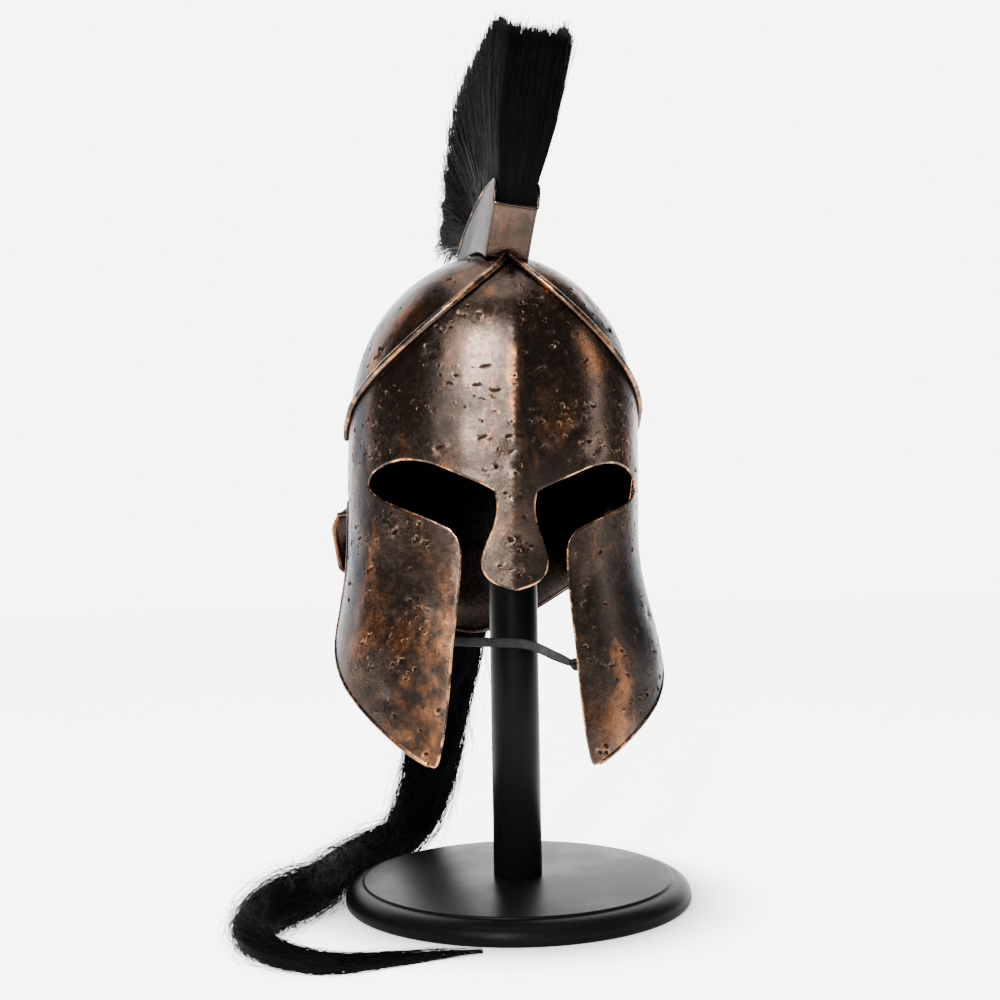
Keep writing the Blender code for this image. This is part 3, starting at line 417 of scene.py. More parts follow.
def scatter_marks(count, outline, to_flat, around_reach, z_range, margin, seed, nicks):
    """Pits and nicks as rows: degrees, height, long radius, short radius, angle, depth, and
    how many degrees and how much height a metre round and up the form is."""
    draw = np.random.default_rng(seed)
    tries = 30000
    around = draw.uniform(-around_reach, around_reach, tries)
    z = draw.uniform(*z_range, tries)
    flat = to_flat(np.stack([around, z], axis=1))
    keep = inside_polygon(flat, outline)
    around, z, flat = around[keep], z[keep], flat[keep]
    keep = edge_distance(flat, outline) > margin
    around, z = around[keep], z[keep]
    spots = form(around, z)
    girth = np.hypot(spots[:, 0], spots[:, 1] - CENTRE_Y) / DOME_HALF_WIDTH
    patch = np.array([noise.noise(Vector(p) / 0.030 + Vector((seed, 0, 0))) for p in spots.tolist()])
    keep = draw.random(len(z)) < np.clip((0.42 + 1.3 * patch), 0.05, 1.0) * np.clip(girth, 0.1, 1.0)
    around, z, spots = around[keep], z[keep], spots[keep]
    per_m, up_m = local_axes(around, z)
    made, placed = [], np.zeros((0, 3))
    for k in range(len(z)):
        radius = 0.00042 + 0.00120 * draw.random() ** 2.6
        is_nick = draw.random() < nicks
        reach = radius * (1.8 + 1.6 * draw.random() if is_nick else 1.0 + 0.7 * draw.random() ** 2)
        near = placed[:, :] - spots[k]
        if len(placed) and np.min(np.linalg.norm(near, axis=1)) < 1.7 * reach + 0.0011:
            continue
        angle = draw.normal(0.35, 0.35) if is_nick else draw.uniform(0, pi)
        depth = radius * (0.50 + 0.45 * draw.random())
        made.append((around[k], z[k], reach, radius, angle, depth, per_m[k], up_m[k], draw.uniform(0, 6)))
        placed = np.vstack([placed, spots[k]])
        if len(made) >= count:
            break
    return np.array(made)


def local_axes(around, z):
    """Steps of degrees and of height that move a point 1 m round and 1 m up the form."""
    d_around, d_up = 0.2, 0.0004
    along = np.linalg.norm(form(around + d_around, z) - form(around - d_around, z), axis=-1) / (2 * d_around)
    upward = np.linalg.norm(form(around, z + d_up) - form(around, z - d_up), axis=-1) / (2 * d_up)
    return 1.0 / np.maximum(along, 1e-5), 1.0 / np.maximum(upward, 1e-5)


def rings_for(marks):
    """Points (degrees, height) in rings at each pit, so that the mesh can hold its shape."""
    points = []
    for around, z, reach, radius, angle, _, per_m, up_m, _ in marks:
        points.append((around, z))
        for share, count in ((0.45, 6), (0.80, 9), (1.08, 11), (1.60, 11)):
            for k in range(count):
                a = 2 * pi * (k + 0.5 * (count % 2)) / count
                u, v = share * reach * cos(a), share * radius * sin(a)
                if share > 1.3:
                    u, v = (reach + 0.6 * radius) * cos(a), 1.6 * radius * sin(a)
                points.append((
                    around + (u * cos(angle) - v * sin(angle)) * per_m,
                    z + (u * sin(angle) + v * cos(angle)) * up_m,
                ))
    return np.array(points)


def pit_relief(around, z, marks):
    """Depth (metres, negative in a pit) and the pit and lip shares at points; the lip share carries a painted
    highlight.
    """
    relief, pit, lip = np.zeros(len(z)), np.zeros(len(z)), np.zeros(len(z))
    for m_around, m_z, reach, radius, angle, depth, per_m, up_m, phase in marks:
        near = np.abs(z - m_z) / up_m < 3 * reach
        near &= np.abs(around - m_around) / per_m < 3 * reach
        if not near.any():
            continue
        u, v = (around[near] - m_around) / per_m, (z[near] - m_z) / up_m
        along, across = u * cos(angle) + v * sin(angle), -u * sin(angle) + v * cos(angle)
        turn = np.arctan2(across, along)
        ragged = 1.0 + 0.16 * np.sin(2 * turn + phase) + 0.10 * np.sin(3 * turn + 2 * phase)
        rho = np.hypot(along / reach, across / radius) * ragged
        inside = np.clip(1.0 - rho**2, 0.0, 1.0)
        collar = np.exp(-(((rho - 1.15) / 0.25) ** 2)) * (0.6 + 0.4 * np.sin(turn + phase))
        relief[near] += -depth * inside**0.8 + 0.30 * depth * collar
        pit[near] = np.maximum(pit[near], np.clip(1.4 * inside, 0.0, 1.0))
        lip[near] = np.maximum(lip[near], collar * (rho > 0.95))
    return relief, pit, lip


def dents(points, count, seed, reach=0.011):
    """Shallow wide dents at random places."""
    draw = np.random.default_rng(seed)
    relief = np.zeros(len(points))
    for _ in range(count):
        spot = points[draw.integers(len(points))]
        size = reach * (0.5 + draw.random())
        distance = np.linalg.norm(points - spot, axis=1)
        relief -= DENT_DEPTH * (0.3 + 0.7 * draw.random()) * np.exp(-((distance / size) ** 2) * 2.0)
    return relief


# Worked sheets

def boundary_loops(triangles):
    """The open edges of a triangle mesh as closed loops of vertex numbers."""
    edges = np.concatenate([triangles[:, [0, 1]], triangles[:, [1, 2]], triangles[:, [2, 0]]])
    key = {}
    for a, b in edges.tolist():
        key[(a, b)] = True
    follow = {a: b for (a, b) in key if (b, a) not in key}
    loops = []
    while follow:
        start, loop = next(iter(follow)), []
        at = start
        while at in follow:
            loop.append(at)
            at = follow.pop(at)
        loops.append(loop)
    return loops


def worked_sheet(name, places, triangles, out_low, out_high, relief, marks, material, matrix):
    """A sheet with a worked outside, a plain inside and a rounded edge all round."""
    around, z = places[:, 0], places[:, 1]
    outer = on_form(around, z, out_high + relief)
    inner = on_form(around, z, np.full(len(z), out_low))
    count = len(places)
    facing = np.cross(outer[triangles[:, 1]] - outer[triangles[:, 0]],
                      outer[triangles[:, 2]] - outer[triangles[:, 0]])
    normal = form_normal(around, z)
    flip = np.einsum("ij,ij->i", facing, normal[triangles[:, 0]]) < 0
    triangles = triangles.copy()
    triangles[flip] = triangles[flip][:, ::-1]
    faces = triangles.tolist() + (triangles[:, ::-1] + count).tolist()
    vertices = [outer, inner]
    edge = np.zeros(2 * count)
    total = 2 * count
    rims = []
    for loop in boundary_loops(triangles):
        loop = np.array(loop)
        before, after = np.roll(loop, 1), np.roll(loop, -1)
        tangent = outer[after] - outer[before]
        outward = np.cross(tangent, normal[loop])
        outward /= np.maximum(np.linalg.norm(outward, axis=1, keepdims=True), 1e-9)
        thick = out_high - out_low
        high = outer[loop] * 0.86 + inner[loop] * 0.14 + outward * 0.26 * thick
        middle = outer[loop] * 0.5 + inner[loop] * 0.5 + outward * 0.40 * thick
        low = outer[loop] * 0.14 + inner[loop] * 0.86 + outward * 0.26 * thick
        n = len(loop)
        rows = [loop, total + np.arange(n), total + n + np.arange(n), total + 2 * n + np.arange(n), loop + count]
        vertices += [high, middle, low]
        total += 3 * n
        rims.append(np.ones(3 * n))
        for row, lower in zip(rows, rows[1:]):
            for k in range(n):
                m = (k + 1) % n
                faces.append((row[m], row[k], lower[k], lower[m]))
        edge[loop] = 1.0
    piece = new_piece(name, np.vstack(vertices), faces, material, matrix)
    extra = total - 2 * count

    def spread(values, inner_value=0.0, rim_value=0.0):
        return np.concatenate([values, np.full(count, inner_value), np.full(extra, rim_value)])

    mark(piece, "inside", np.concatenate([np.zeros(count), np.ones(count), np.full(extra, 0.0)]))
    for key, values in marks.items():
        mark(piece, key, spread(values, 0.0, 1.0 if key == "edge" else 0.0))
    return piece


def inside_polygon(points, outline):
    """Which points are inside a closed outline."""
    x, y = points[:, 0], points[:, 1]
    result = np.zeros(len(points), bool)
    x0, y0 = outline[:, 0], outline[:, 1]
    x1, y1 = np.roll(x0, -1), np.roll(y0, -1)
    for a, b, c, d in zip(x0, y0, x1, y1):
        if b == d:
            continue
        crosses = ((b > y) != (d > y)) & (x < a + (y - b) / (d - b) * (c - a))
        result ^= crosses
    return result


def edge_distance(points, outline):
    """Distance of points from a closed outline."""
    best = np.full(len(points), 1e9)
    for a, b in zip(outline, np.roll(outline, -1, axis=0)):
        span = b - a
        share = np.clip(((points - a) @ span) / max(span @ span, 1e-12), 0.0, 1.0)
        best = np.minimum(best, np.linalg.norm(points - a - share[:, None] * span, axis=1))
    return best


def triangulate(outline, inner):
    """Triangles over an outline with points inside it, and the points."""
    points = np.vstack([outline, inner])
    flat = [Vector(p) for p in points.tolist()]
    corners, _, faces, _, _, _ = delaunay_2d_cdt(flat, [], [list(range(len(outline)))], 1, 1e-8)
    return np.array([tuple(c) for c in corners]), np.array([tuple(f) for f in faces])


def thin_near(points, marks, to_flat):
    """Leave out the grid points that lie on a pit."""
    keep = np.ones(len(points), bool)
    for around, z, reach, radius, _, _, per_m, up_m, _ in marks:
        spot = to_flat(np.array([[around, z]]))[0]
        beside = to_flat(np.array([[around + per_m * 0.001, z]]))[0] - spot
        above = to_flat(np.array([[around, z + up_m * 0.001]]))[0] - spot
        size_x, size_y = np.linalg.norm(beside) / 0.001, np.linalg.norm(above) / 0.001
        size = max(size_x, size_y) * (reach + 0.9 * radius + 0.0003)
        keep &= np.linalg.norm(points - spot, axis=1) > size
    return points[keep]


def face_pattern():
    """The whole outline of the face plate on the flat: degrees as a length, and height."""
    runs = (BROW_LINE, CHEEK_REAR, CHEEK_LOWER, CHEEK_TIP, CHEEK_FRONT, EYE_LOWER, EYE_UPPER, NASAL_SIDE)
    half = np.vstack([drawn_edge(run, EDGE_SPACING)[:-1] for run in runs] + [[[0.0, height(NASAL_SIDE[-1][1])]]])
    mirrored = half[1:-1][::-1] * np.array([-1.0, 1.0])
    return np.vstack([half, mirrored])


def face_flat(places):
    """Degrees and height as lengths on the flat."""
    return np.stack([np.radians(places[:, 0]) * DOME_HALF_WIDTH, places[:, 1]], axis=1)


def make_face_plate(bronze):
    """Brow, nasal and cheek plates with their pits, dents and rolled edges."""
    outline_places = face_pattern()
    outline = face_flat(outline_places)

    marks = scatter_marks(FACE_PITS, outline, face_flat, 88.0, (0.105, 0.440), 0.0042, 7, 0.35)
    grid = []
    low, high = outline[:, 1].min(), outline[:, 1].max()
    reach = outline[:, 0].max()
    for row, z in enumerate(np.arange(low, high, SHEET_SPACING * 0.87)):
        shift = 0.5 * SHEET_SPACING * (row % 2)
        grid += [(x, z) for x in np.arange(-reach + shift, reach, SHEET_SPACING)]
    grid = np.array(grid)
    grid = grid[np.abs(grid[:, 0]) > 0.5 * SHEET_SPACING]
    keel = np.arange(low, high, 0.0018)
    grid = np.vstack([grid, np.stack([np.zeros(len(keel)), keel], axis=1)])
    keep = inside_polygon(grid, outline)
    grid = grid[keep]
    grid = grid[edge_distance(grid, outline) > 0.0013]
    border = outline_border(outline)
    grid = thin_near(np.vstack([grid, border]), marks, face_flat)
    rings = face_flat(rings_for(marks))
    rings = rings[inside_polygon(rings, outline)]
    rings = rings[edge_distance(rings, outline) > 0.0007]
    corners, triangles = triangulate(outline, np.vstack([grid, rings]))
    places = np.stack([np.degrees(corners[:, 0] / DOME_HALF_WIDTH), corners[:, 1]], axis=1)
    spots = form(places[:, 0], places[:, 1])
    relief, pit, lip = pit_relief(places[:, 0], places[:, 1], marks)
    relief += 0.00030 * wide_ripple(spots, 0.030, 3) + 0.00007 * ripple(spots, 0.009, 5)
    from_edge = edge_distance(corners, outline)
    calm = smoothstep(from_edge, 0.0, 0.012)
    relief += dents(spots, 26, 11) * calm
    brow = drawn_edge(BROW_LINE, EDGE_SPACING)
    brow = np.vstack([brow[::-1] * np.array([-1.0, 1.0]), brow[1:]])
    brow_flat = face_flat(brow)
    from_brow = open_distance(corners, brow_flat)
    marks_out = {
        "pit": pit,
        "lip": lip,
        "edge": np.exp(-from_edge / 0.0009),
        # Painted shade: a dark band on the plate just under the brow rim.
        "under_brow_shade": np.exp(-((from_brow - 0.0062) / 0.0022) ** 2),
    }
    plate = worked_sheet(
        "face_sheet", places, triangles, PLATE_GAP, PLATE_GAP + SHEET, relief, marks_out, bronze, HELMET,
    )
    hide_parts("face_plate")
    return plate


def outline_border(outline):
    """Points just inside an outline, so that its edge bends crisply."""
    ahead, behind = np.roll(outline, -1, axis=0), np.roll(outline, 1, axis=0)
    tangent = ahead - behind
    tangent /= np.maximum(np.linalg.norm(tangent, axis=1, keepdims=True), 1e-9)
    area = np.sum(outline[:, 0] * ahead[:, 1] - ahead[:, 0] * outline[:, 1])
    inward = np.stack([-tangent[:, 1], tangent[:, 0]], axis=1) * np.sign(area)
    border = outline + inward * 0.0011
    border = border[inside_polygon(border, outline)]
    return border[edge_distance(border, outline) > 0.0009]


def open_distance(points, line):
    """Distance of points from an open line."""
    best = np.full(len(points), 1e9)
    for a, b in zip(line[:-1], line[1:]):
        span = b - a
        share = np.clip(((points - a) @ span) / max(span @ span, 1e-12), 0.0, 1.0)
        best = np.minimum(best, np.linalg.norm(points - a - share[:, None] * span, axis=1))
    return best


# The skull is laid out flat from the pole: distance down the form, and direction

def skull_height(reach):
    """Height on the form at a distance down from the pole."""
    q = reach / (0.5 * pi * DOME_RISE) * 90.0
    return np.where(
        q <= 90.0, EQUATOR_Z + DOME_RISE * np.cos(np.radians(np.minimum(q, 90.0))),
        EQUATOR_Z - (q - 90.0) / 90.0 * 0.5 * pi * DOME_RISE,
    )


def skull_reach(z):
    """Distance down from the pole at a height."""
    above = np.arccos(np.clip((z - EQUATOR_Z) / DOME_RISE, -1.0, 1.0)) * DOME_RISE
    return np.where(z >= EQUATOR_Z, above, 0.5 * pi * DOME_RISE + (EQUATOR_Z - z))


def skull_flat(places):
    """Degrees and height as a place on the flat."""
    reach = skull_reach(places[:, 1])
    turn = np.radians(places[:, 0])
    return np.stack([reach * np.sin(turn), -reach * np.cos(turn)], axis=1)


def skull_places(flat):
    """The other way round from skull_flat."""
    reach = np.hypot(flat[:, 0], flat[:, 1])
    return np.stack([np.degrees(np.arctan2(flat[:, 0], -flat[:, 1])), skull_height(reach)], axis=1)


def make_skull(bronze):
    """Dome, back and neck guard, with pits and dents and a rolled lower edge."""
    around = np.concatenate([np.arange(0.0, 90.0, 1.2), np.arange(90.0, 120.0, 0.45), np.arange(120.0, 180.0, 0.8)])
    half = np.stack([around, height(read_table(SKULL_EDGE, around, 1))], axis=1)
    last = np.array([[180.0, height(SKULL_EDGE[-1][1])]])
    edge_places = np.vstack([half, last, half[1:][::-1] * np.array([-1.0, 1.0])])
    outline = skull_flat(edge_places)

    marks = scatter_marks(SKULL_PITS, outline, skull_flat, 180.0, (0.20, 0.461), 0.006, 19, 0.8)
    grid = [(0.0, 0.0)]
    spacing = SHEET_SPACING * 1.15
    for row, reach in enumerate(np.arange(spacing, outline_reach(outline), spacing)):
        z = float(skull_height(reach))
        loop = np.linspace(-180.0, 180.0, 90, endpoint=False)
        ring = form(loop, np.full(90, z))
        length = np.linalg.norm(ring - np.roll(ring, 1, axis=0), axis=1).sum()
        count = max(6, int(length / spacing))
        turn = 2 * pi * (np.arange(count) + 0.5 * (row % 2)) / count
        grid += list(zip(reach * np.sin(turn), -reach * np.cos(turn)))
    grid = np.array(grid)
    grid = grid[inside_polygon(grid, outline)]
    grid = grid[edge_distance(grid, outline) > 0.0016]
    grid = thin_near(grid, marks, skull_flat)
    rings = skull_flat(rings_for(marks))
    rings = rings[inside_polygon(rings, outline)]
    corners, triangles = triangulate(outline, np.vstack([grid, rings]))
    places = skull_places(corners)
    spots = form(places[:, 0], places[:, 1])
    relief, pit, lip = pit_relief(places[:, 0], places[:, 1], marks)
    relief += 0.00035 * wide_ripple(spots, 0.032, 23) + 0.00010 * ripple(spots, 0.009, 25)
    from_edge = edge_distance(corners, outline)
    below = smoothstep(np.abs(places[:, 0]), 88.0, 96.0)
    relief = relief * smoothstep(from_edge, 0.0, 0.010) + dents(spots, 22, 29) * smoothstep(from_edge, 0.0, 0.02)
    under_plate = 1.0 - below
    relief = np.where((under_plate > 0.5) & (from_edge < 0.030), np.minimum(relief, 0.0), relief)
    marks_out = {
        "pit": pit, "lip": lip, "edge": np.exp(-from_edge / 0.0020) * below, "under_brow_shade": np.zeros(len(pit)),
    }
    skull = worked_sheet(
        "skull_sheet", places, triangles, -SHEET, 0.0, relief, marks_out, bronze, HELMET,
    )
    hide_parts("skull")
    return skull


def outline_reach(outline):
    """How far an outline lies from the pole."""
    return float(np.max(np.linalg.norm(outline, axis=1)))


def rolled_edge(name, path, normals, radius, material, squash=1.0, sides=14, ends=2.0, seed=0, worn_to=0.75):
    """A worn rolled edge along a path."""
    count = len(path)
    tangent = np.gradient(path, axis=0)
    tangent /= np.linalg.norm(tangent, axis=1, keepdims=True)
    outward = normals - tangent * np.sum(normals * tangent, axis=1, keepdims=True)
    outward /= np.linalg.norm(outward, axis=1, keepdims=True)
    across = np.cross(tangent, outward)
    run = np.concatenate([[0.0], np.cumsum(np.linalg.norm(np.diff(path, axis=0), axis=1))])
    end_share = np.minimum(run, run[-1] - run) / (ends * radius)
    taper = np.sqrt(np.clip(1.0 - (1.0 - np.clip(end_share, 0.0, 1.0)) ** 2, 0.0, 1.0))
    wobble = 1.0 + 0.05 * ripple(path, 0.012, seed + 51) + 0.03 * ripple(path, 0.004, seed + 52)
    size = radius * np.maximum(taper, 0.06) * wobble
    turns = 2 * pi * np.arange(sides) / sides
    ring = (
        np.cos(turns)[None, :, None] * across[:, None, :]
        + squash * np.sin(turns)[None, :, None] * outward[:, None, :]
    )
    nick = 1.0 + 0.05 * np.array([
        noise.noise(Vector(p)) for p in
        ((path[:, None, :] + ring * radius) / 0.0035 + seed).reshape(-1, 3).tolist()
    ]).reshape(count, sides)
    vertices = (path[:, None, :] + ring * (size[:, None] * nick)[:, :, None]).reshape(-1, 3)
    faces = []
    for k in range(count - 1):
        for n in range(sides):
            m = (n + 1) % sides
            faces.append((k * sides + n, k * sides + m, (k + 1) * sides + m, (k + 1) * sides + n))
    faces.append(list(range(sides))[::-1])
    faces.append([(count - 1) * sides + n for n in range(sides)])
    piece = new_piece(name, vertices, faces, material, HELMET)
    fix_normals(piece)
    worn = np.clip(0.55 + 0.45 * np.sin(turns), 0.0, 1.0)[None, :] * np.ones((count, 1))
    mark(piece, "edge", (worn_to * worn).reshape(-1))
    for key in ("pit", "lip", "under_brow_shade", "inside"):
        mark(piece, key, np.zeros(count * sides))
    return piece


def fix_normals(piece):
    """Turn every face of a closed mesh outwards."""
    work = bmesh.new()
    work.from_mesh(piece.data)
    bmesh.ops.recalc_face_normals(work, faces=work.faces)
    work.to_mesh(piece.data)
    work.free()


def make_rims(bronze):
    """Rolled edges of the brow, the cheek plates, and the ears and neck."""
    brow = drawn_edge(BROW_LINE, 0.0020)
    brow = np.vstack([brow[::-1] * np.array([-1.0, 1.0]), brow[1:]])
    path = on_form(brow[:, 0], brow[:, 1], PLATE_GAP + BROW_RIM_RADIUS)
    rim = rolled_edge("brow_rim", path, form_normal(brow[:, 0], brow[:, 1]), BROW_RIM_RADIUS, bronze, 0.92)
    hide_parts("face_plate")
    lower = np.vstack([drawn_edge(CHEEK_REAR[2:], 0.0018)[:-1], drawn_edge(CHEEK_LOWER, 0.0018)])
    middle = PLATE_GAP + 0.5 * SHEET
    for side, name in ((1.0, "left_cheek_rim"), (-1.0, "right_cheek_rim")):
        path = on_form(side * lower[:, 0], lower[:, 1], middle)
        normals = form_normal(side * lower[:, 0], lower[:, 1])
        rim = rolled_edge(name, path, normals, CHEEK_RIM_RADIUS, bronze, 0.9, seed=int(3 + side))
        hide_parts("face_plate")
    around = np.concatenate([np.arange(95.5, 118.0, 0.7), np.arange(118.0, 180.1, 1.3)])
    around = np.concatenate([around, (360.0 - around[::-1][1:])])
    signed = np.where(around > 180.0, around - 360.0, around)
    z = height(read_table(SKULL_EDGE, np.abs(signed), 1))
    path = on_form(signed, z, -0.5 * SHEET)
    rim = rolled_edge("neck_rim", path, form_normal(signed, z), NECK_RIM_RADIUS, bronze, 1.0, seed=9, worn_to=0.30)
    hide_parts("skull")


# Crest box

def box_foot():
    """Where the crest box's front wall meets the dome."""
    reach = (CENTRE_Y - BOX_FRONT_Y) / DOME_FRONT
    return EQUATOR_Z + DOME_RISE * (1.0 - reach**FRONT_POWER) ** (1.0 / FRONT_POWER)


def dome_top(y, x=0.0):
    """Height of the dome at a place along it, a little to the side."""
    reach = (y - CENTRE_Y) / (DOME_FRONT if y < CENTRE_Y else DOME_BACK)
    power = FRONT_POWER if y < CENTRE_Y else 2.0
    centre = EQUATOR_Z + DOME_RISE * max(1.0 - abs(reach) ** power, 0.0) ** (1.0 / power)
    return centre - 0.55 * x * x / DOME_HALF_WIDTH


def bevelled_prism(name, outline, half_width, centre_x, bevel, material, matrix):
    """A flat side panel with rounded edges."""
    n = len(outline)
    vertices = [(centre_x + side * half_width, y, z) for side in (-1, 1) for y, z in outline]
    faces = [list(range(n)), list(range(2 * n - 1, n - 1, -1))]
    faces += [(k, (k + 1) % n, n + (k + 1) % n, n + k)[::-1] for k in range(n)]
    piece = new_piece(name, vertices, faces, material, matrix, False)
    fix_normals(piece)
    modifier = piece.modifiers.new("bevel", "BEVEL")
    modifier.width = bevel
    modifier.segments = 3
    modifier.limit_method = "ANGLE"
    modifier.angle_limit = radians(38)
    dress(piece)
    return piece


def dress(piece, edge_from=None):
    """Apply a piece's modifiers, smooth it, and give it the marks that the bronze reads."""
    evaluated = piece.evaluated_get(bpy.context.evaluated_depsgraph_get())
    mesh = bpy.data.meshes.new_from_object(evaluated)
    piece.modifiers.clear()
    piece.data = mesh
    mesh.shade_smooth()
    mesh.set_sharp_from_angle(angle=radians(35))
    count = len(mesh.vertices)
    for key in ("pit", "lip", "under_brow_shade", "inside", "edge"):
        if key not in mesh.attributes:
            mark(piece, key, np.zeros(count))


def flare_behind(piece):
    """Spread the side panels apart towards the back, as the box is."""
    spots = np.zeros(3 * len(piece.data.vertices))
    piece.data.vertices.foreach_get("co", spots)
    spots = spots.reshape(-1, 3)
    behind = np.maximum((spots[:, 1] - BOX_FRONT_Y - 2 * SHEET) / BOX_LENGTH, 0.0)
    spots[:, 0] += np.sign(spots[:, 0]) * BOX_FLARE * behind
    piece.data.vertices.foreach_set("co", spots.reshape(-1))
    piece.data.update()


def make_crest_box(bronze, panel_bronze):
    """Front plate with its lip, and the two crescent side panels."""
    foot = box_foot()

    def place(u, v):
        return BOX_FRONT_Y + u * BOX_LENGTH, foot + v * BOX_HEIGHT

    top = [place(u, v) for u, v in spline_through(BOX_TOP, 6)]
    rear_y = top[-1][0]
    for side, name in ((-1, "crest_box_side_right"), (1, "crest_box_side_left")):
        under = []
        for y in np.linspace(rear_y, BOX_FRONT_Y, 22):
            under.append((y, dome_top(y, BOX_HALF_WIDTH) + 0.0004))
        front = [place(u, v) for u, v in spline_through(BOX_SIDE[1:], 4)][1:-1]
        outline = top + under + front
        panel = bevelled_prism(
            name, outline, 0.5 * SHEET, side * (BOX_HALF_WIDTH - 0.5 * SHEET), 0.0005, panel_bronze, CREST,
        )
        flare_behind(panel)
        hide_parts("crest_box")
        bead = spline_through([place(u - (0.014 if u > 0.9 else 0.0), v) for u, v in BOX_TOP], 8)
        path = np.array([(side * (BOX_HALF_WIDTH - 0.2 * SHEET), y, z - 0.0006) for y, z in bead])
        out = np.tile(np.array([[side, 0.0, 0.0]]), (len(path), 1))
        rim = rolled_edge(name + "_rim", path, out.astype(float), 0.00125, bronze, 0.9, 10, seed=15 + side)
        flare_behind(rim)
        rim.matrix_world = CREST
        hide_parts("crest_box")
    front = spline_through([place(u, v) for u, v in BOX_SIDE[1:]], 5)
    rows = len(front)
    outline = [(y, z) for y, z in front]
    outline += [(y + 1.2 * SHEET, z + (0.0012 if k == rows - 1 else 0.0)) for k, (y, z) in reversed(list(enumerate(front)))]
    outline[0] = (outline[0][0], outline[0][1] + 0.0004)
    outline[-1] = (outline[-1][0], outline[-1][1] + 0.0008)
    plate = bevelled_prism(
        "crest_box_front", outline, BOX_HALF_WIDTH - SHEET - 0.0001, 0.0, 0.0003, bronze, CREST,
    )
    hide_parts("crest_box")
    lip_y, lip_z = front[-1]
    xs = np.linspace(-BOX_HALF_WIDTH - 0.0008, BOX_HALF_WIDTH + 0.0008, 26)
    path = np.array([(x, lip_y - 0.0002, lip_z) for x in xs])
    out = np.tile(np.array([[0.0, -0.6, 0.8]]), (len(path), 1))
    lip = rolled_edge("crest_box_lip", path, out, 0.0017, bronze, 0.7, 12, seed=21)
    lip.matrix_world = CREST
    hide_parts("crest_box")


# Horsehair

def crest_lines(place, share, across):
    """Points of the crest: place along its root, share of the hair's length, and across."""
    lean_root, lean_tip, length, width, aside = (read_table(CREST_ROWS, place, k) for k in range(1, 6))
    front = BOX_FRONT_Y + 1.2 * SHEET + HAIR_GAP + 0.001
    root_y = front + place * CREST_ROOT_SHARE * BOX_LENGTH
    reach_y = (root_y - CENTRE_Y) / np.where(root_y < CENTRE_Y, DOME_FRONT, DOME_BACK)
    power = np.where(root_y < CENTRE_Y, FRONT_POWER, 2.0)
    root_z = EQUATOR_Z + DOME_RISE * np.maximum(1.0 - np.abs(reach_y) ** power, 0.0) ** (1.0 / power)
    root_z = root_z + BOX_GAP + HAIR_GAP + 0.0006
    reach = 0.5 * length * CREST_HEIGHT
    bend_y = root_y + reach * np.sin(np.radians(lean_root))
    bend_z = root_z + reach * np.cos(np.radians(lean_root))
    tip_y = bend_y + reach * np.sin(np.radians(lean_tip))
    tip_z = bend_z + reach * np.cos(np.radians(lean_tip))
    u = share
    y = (1 - u) ** 2 * root_y + 2 * u * (1 - u) * bend_y + u * u * tip_y
    z = (1 - u) ** 2 * root_z + 2 * u * (1 - u) * bend_z + u * u * tip_z
    spread = np.clip((u - 0.34) / 0.50, 0.0, 1.0)
    behind = np.maximum((root_y - BOX_FRONT_Y - 2 * SHEET) / BOX_LENGTH, 0.0)
    held = BOX_HALF_WIDTH - SHEET - HAIR_GAP + 0.8 * BOX_FLARE * behind
    half = held + (width * CREST_HALF_WIDTH - held) * spread * (2 - spread)
    x = aside * CREST_HALF_WIDTH * spread * spread + across * half
    return np.stack([x, y, z], axis=-1)


def strands(name, paths, thickness, material, matrix, node, tip=0.12):
    """Thin closed hairs, each a tapered three-sided rod along its own path."""
    count, steps, _ = paths.shape
    tangent = np.gradient(paths, axis=1)
    tangent /= np.maximum(np.linalg.norm(tangent, axis=2, keepdims=True), 1e-12)
    helper = np.array([0.37, 0.71, 0.60])
    side = np.cross(tangent, helper)
    side /= np.maximum(np.linalg.norm(side, axis=2, keepdims=True), 1e-12)
    other = np.cross(tangent, side)
    share = np.linspace(0.0, 1.0, steps)
    taper = np.minimum(1.0, 0.35 + 6.0 * share) * np.clip((1.0 - share) * 2.2, tip, 1.0)
    radius = np.asarray(thickness)[:, None] * 0.5 * taper[None, :]
    turns = 2 * pi * np.arange(3) / 3
    ring = (
        np.cos(turns)[None, None, :, None] * side[:, :, None, :]
        + np.sin(turns)[None, None, :, None] * other[:, :, None, :]
    )
    vertices = (paths[:, :, None, :] + ring * radius[:, :, None, None]).reshape(-1, 3)
    base = (np.arange(count) * steps * 3)[:, None, None]
    step = (np.arange(steps - 1) * 3)[None, :, None]
    n = np.arange(3)[None, None, :]
    m = (np.arange(3)[None, None, :] + 1) % 3
    a, b = base + step + n, base + step + m
    quads = np.stack([a, b, b + 3, a + 3], axis=-1).reshape(-1, 4)
    first = base.reshape(-1)
    last = first + (steps - 1) * 3
    caps = np.concatenate([
        np.stack([first + 2, first + 1, first], axis=1), np.stack([last, last + 1, last + 2], axis=1),
    ])
    mesh = bpy.data.meshes.new(name)
    mesh.vertices.add(len(vertices))
    mesh.vertices.foreach_set("co", vertices.reshape(-1).astype(np.float32))
    loops = np.concatenate([quads.reshape(-1), caps.reshape(-1)]).astype(np.int32)
    mesh.loops.add(len(loops))
    mesh.loops.foreach_set("vertex_index", loops)
    starts = np.concatenate([np.arange(len(quads)) * 4, len(quads) * 4 + np.arange(len(caps)) * 3])
    mesh.polygons.add(len(starts))
    mesh.polygons.foreach_set("loop_start", starts.astype(np.int32))
    mesh.update(calc_edges=True)
    mesh.validate()
    mesh.shade_smooth()
    piece = bpy.data.objects.new(name, mesh)
    bpy.context.scene.collection.objects.link(piece)
    if matrix is not None:
        piece.matrix_world = matrix
    mesh.materials.append(material)
    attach(piece, "root")
    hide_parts(node)
    return piece


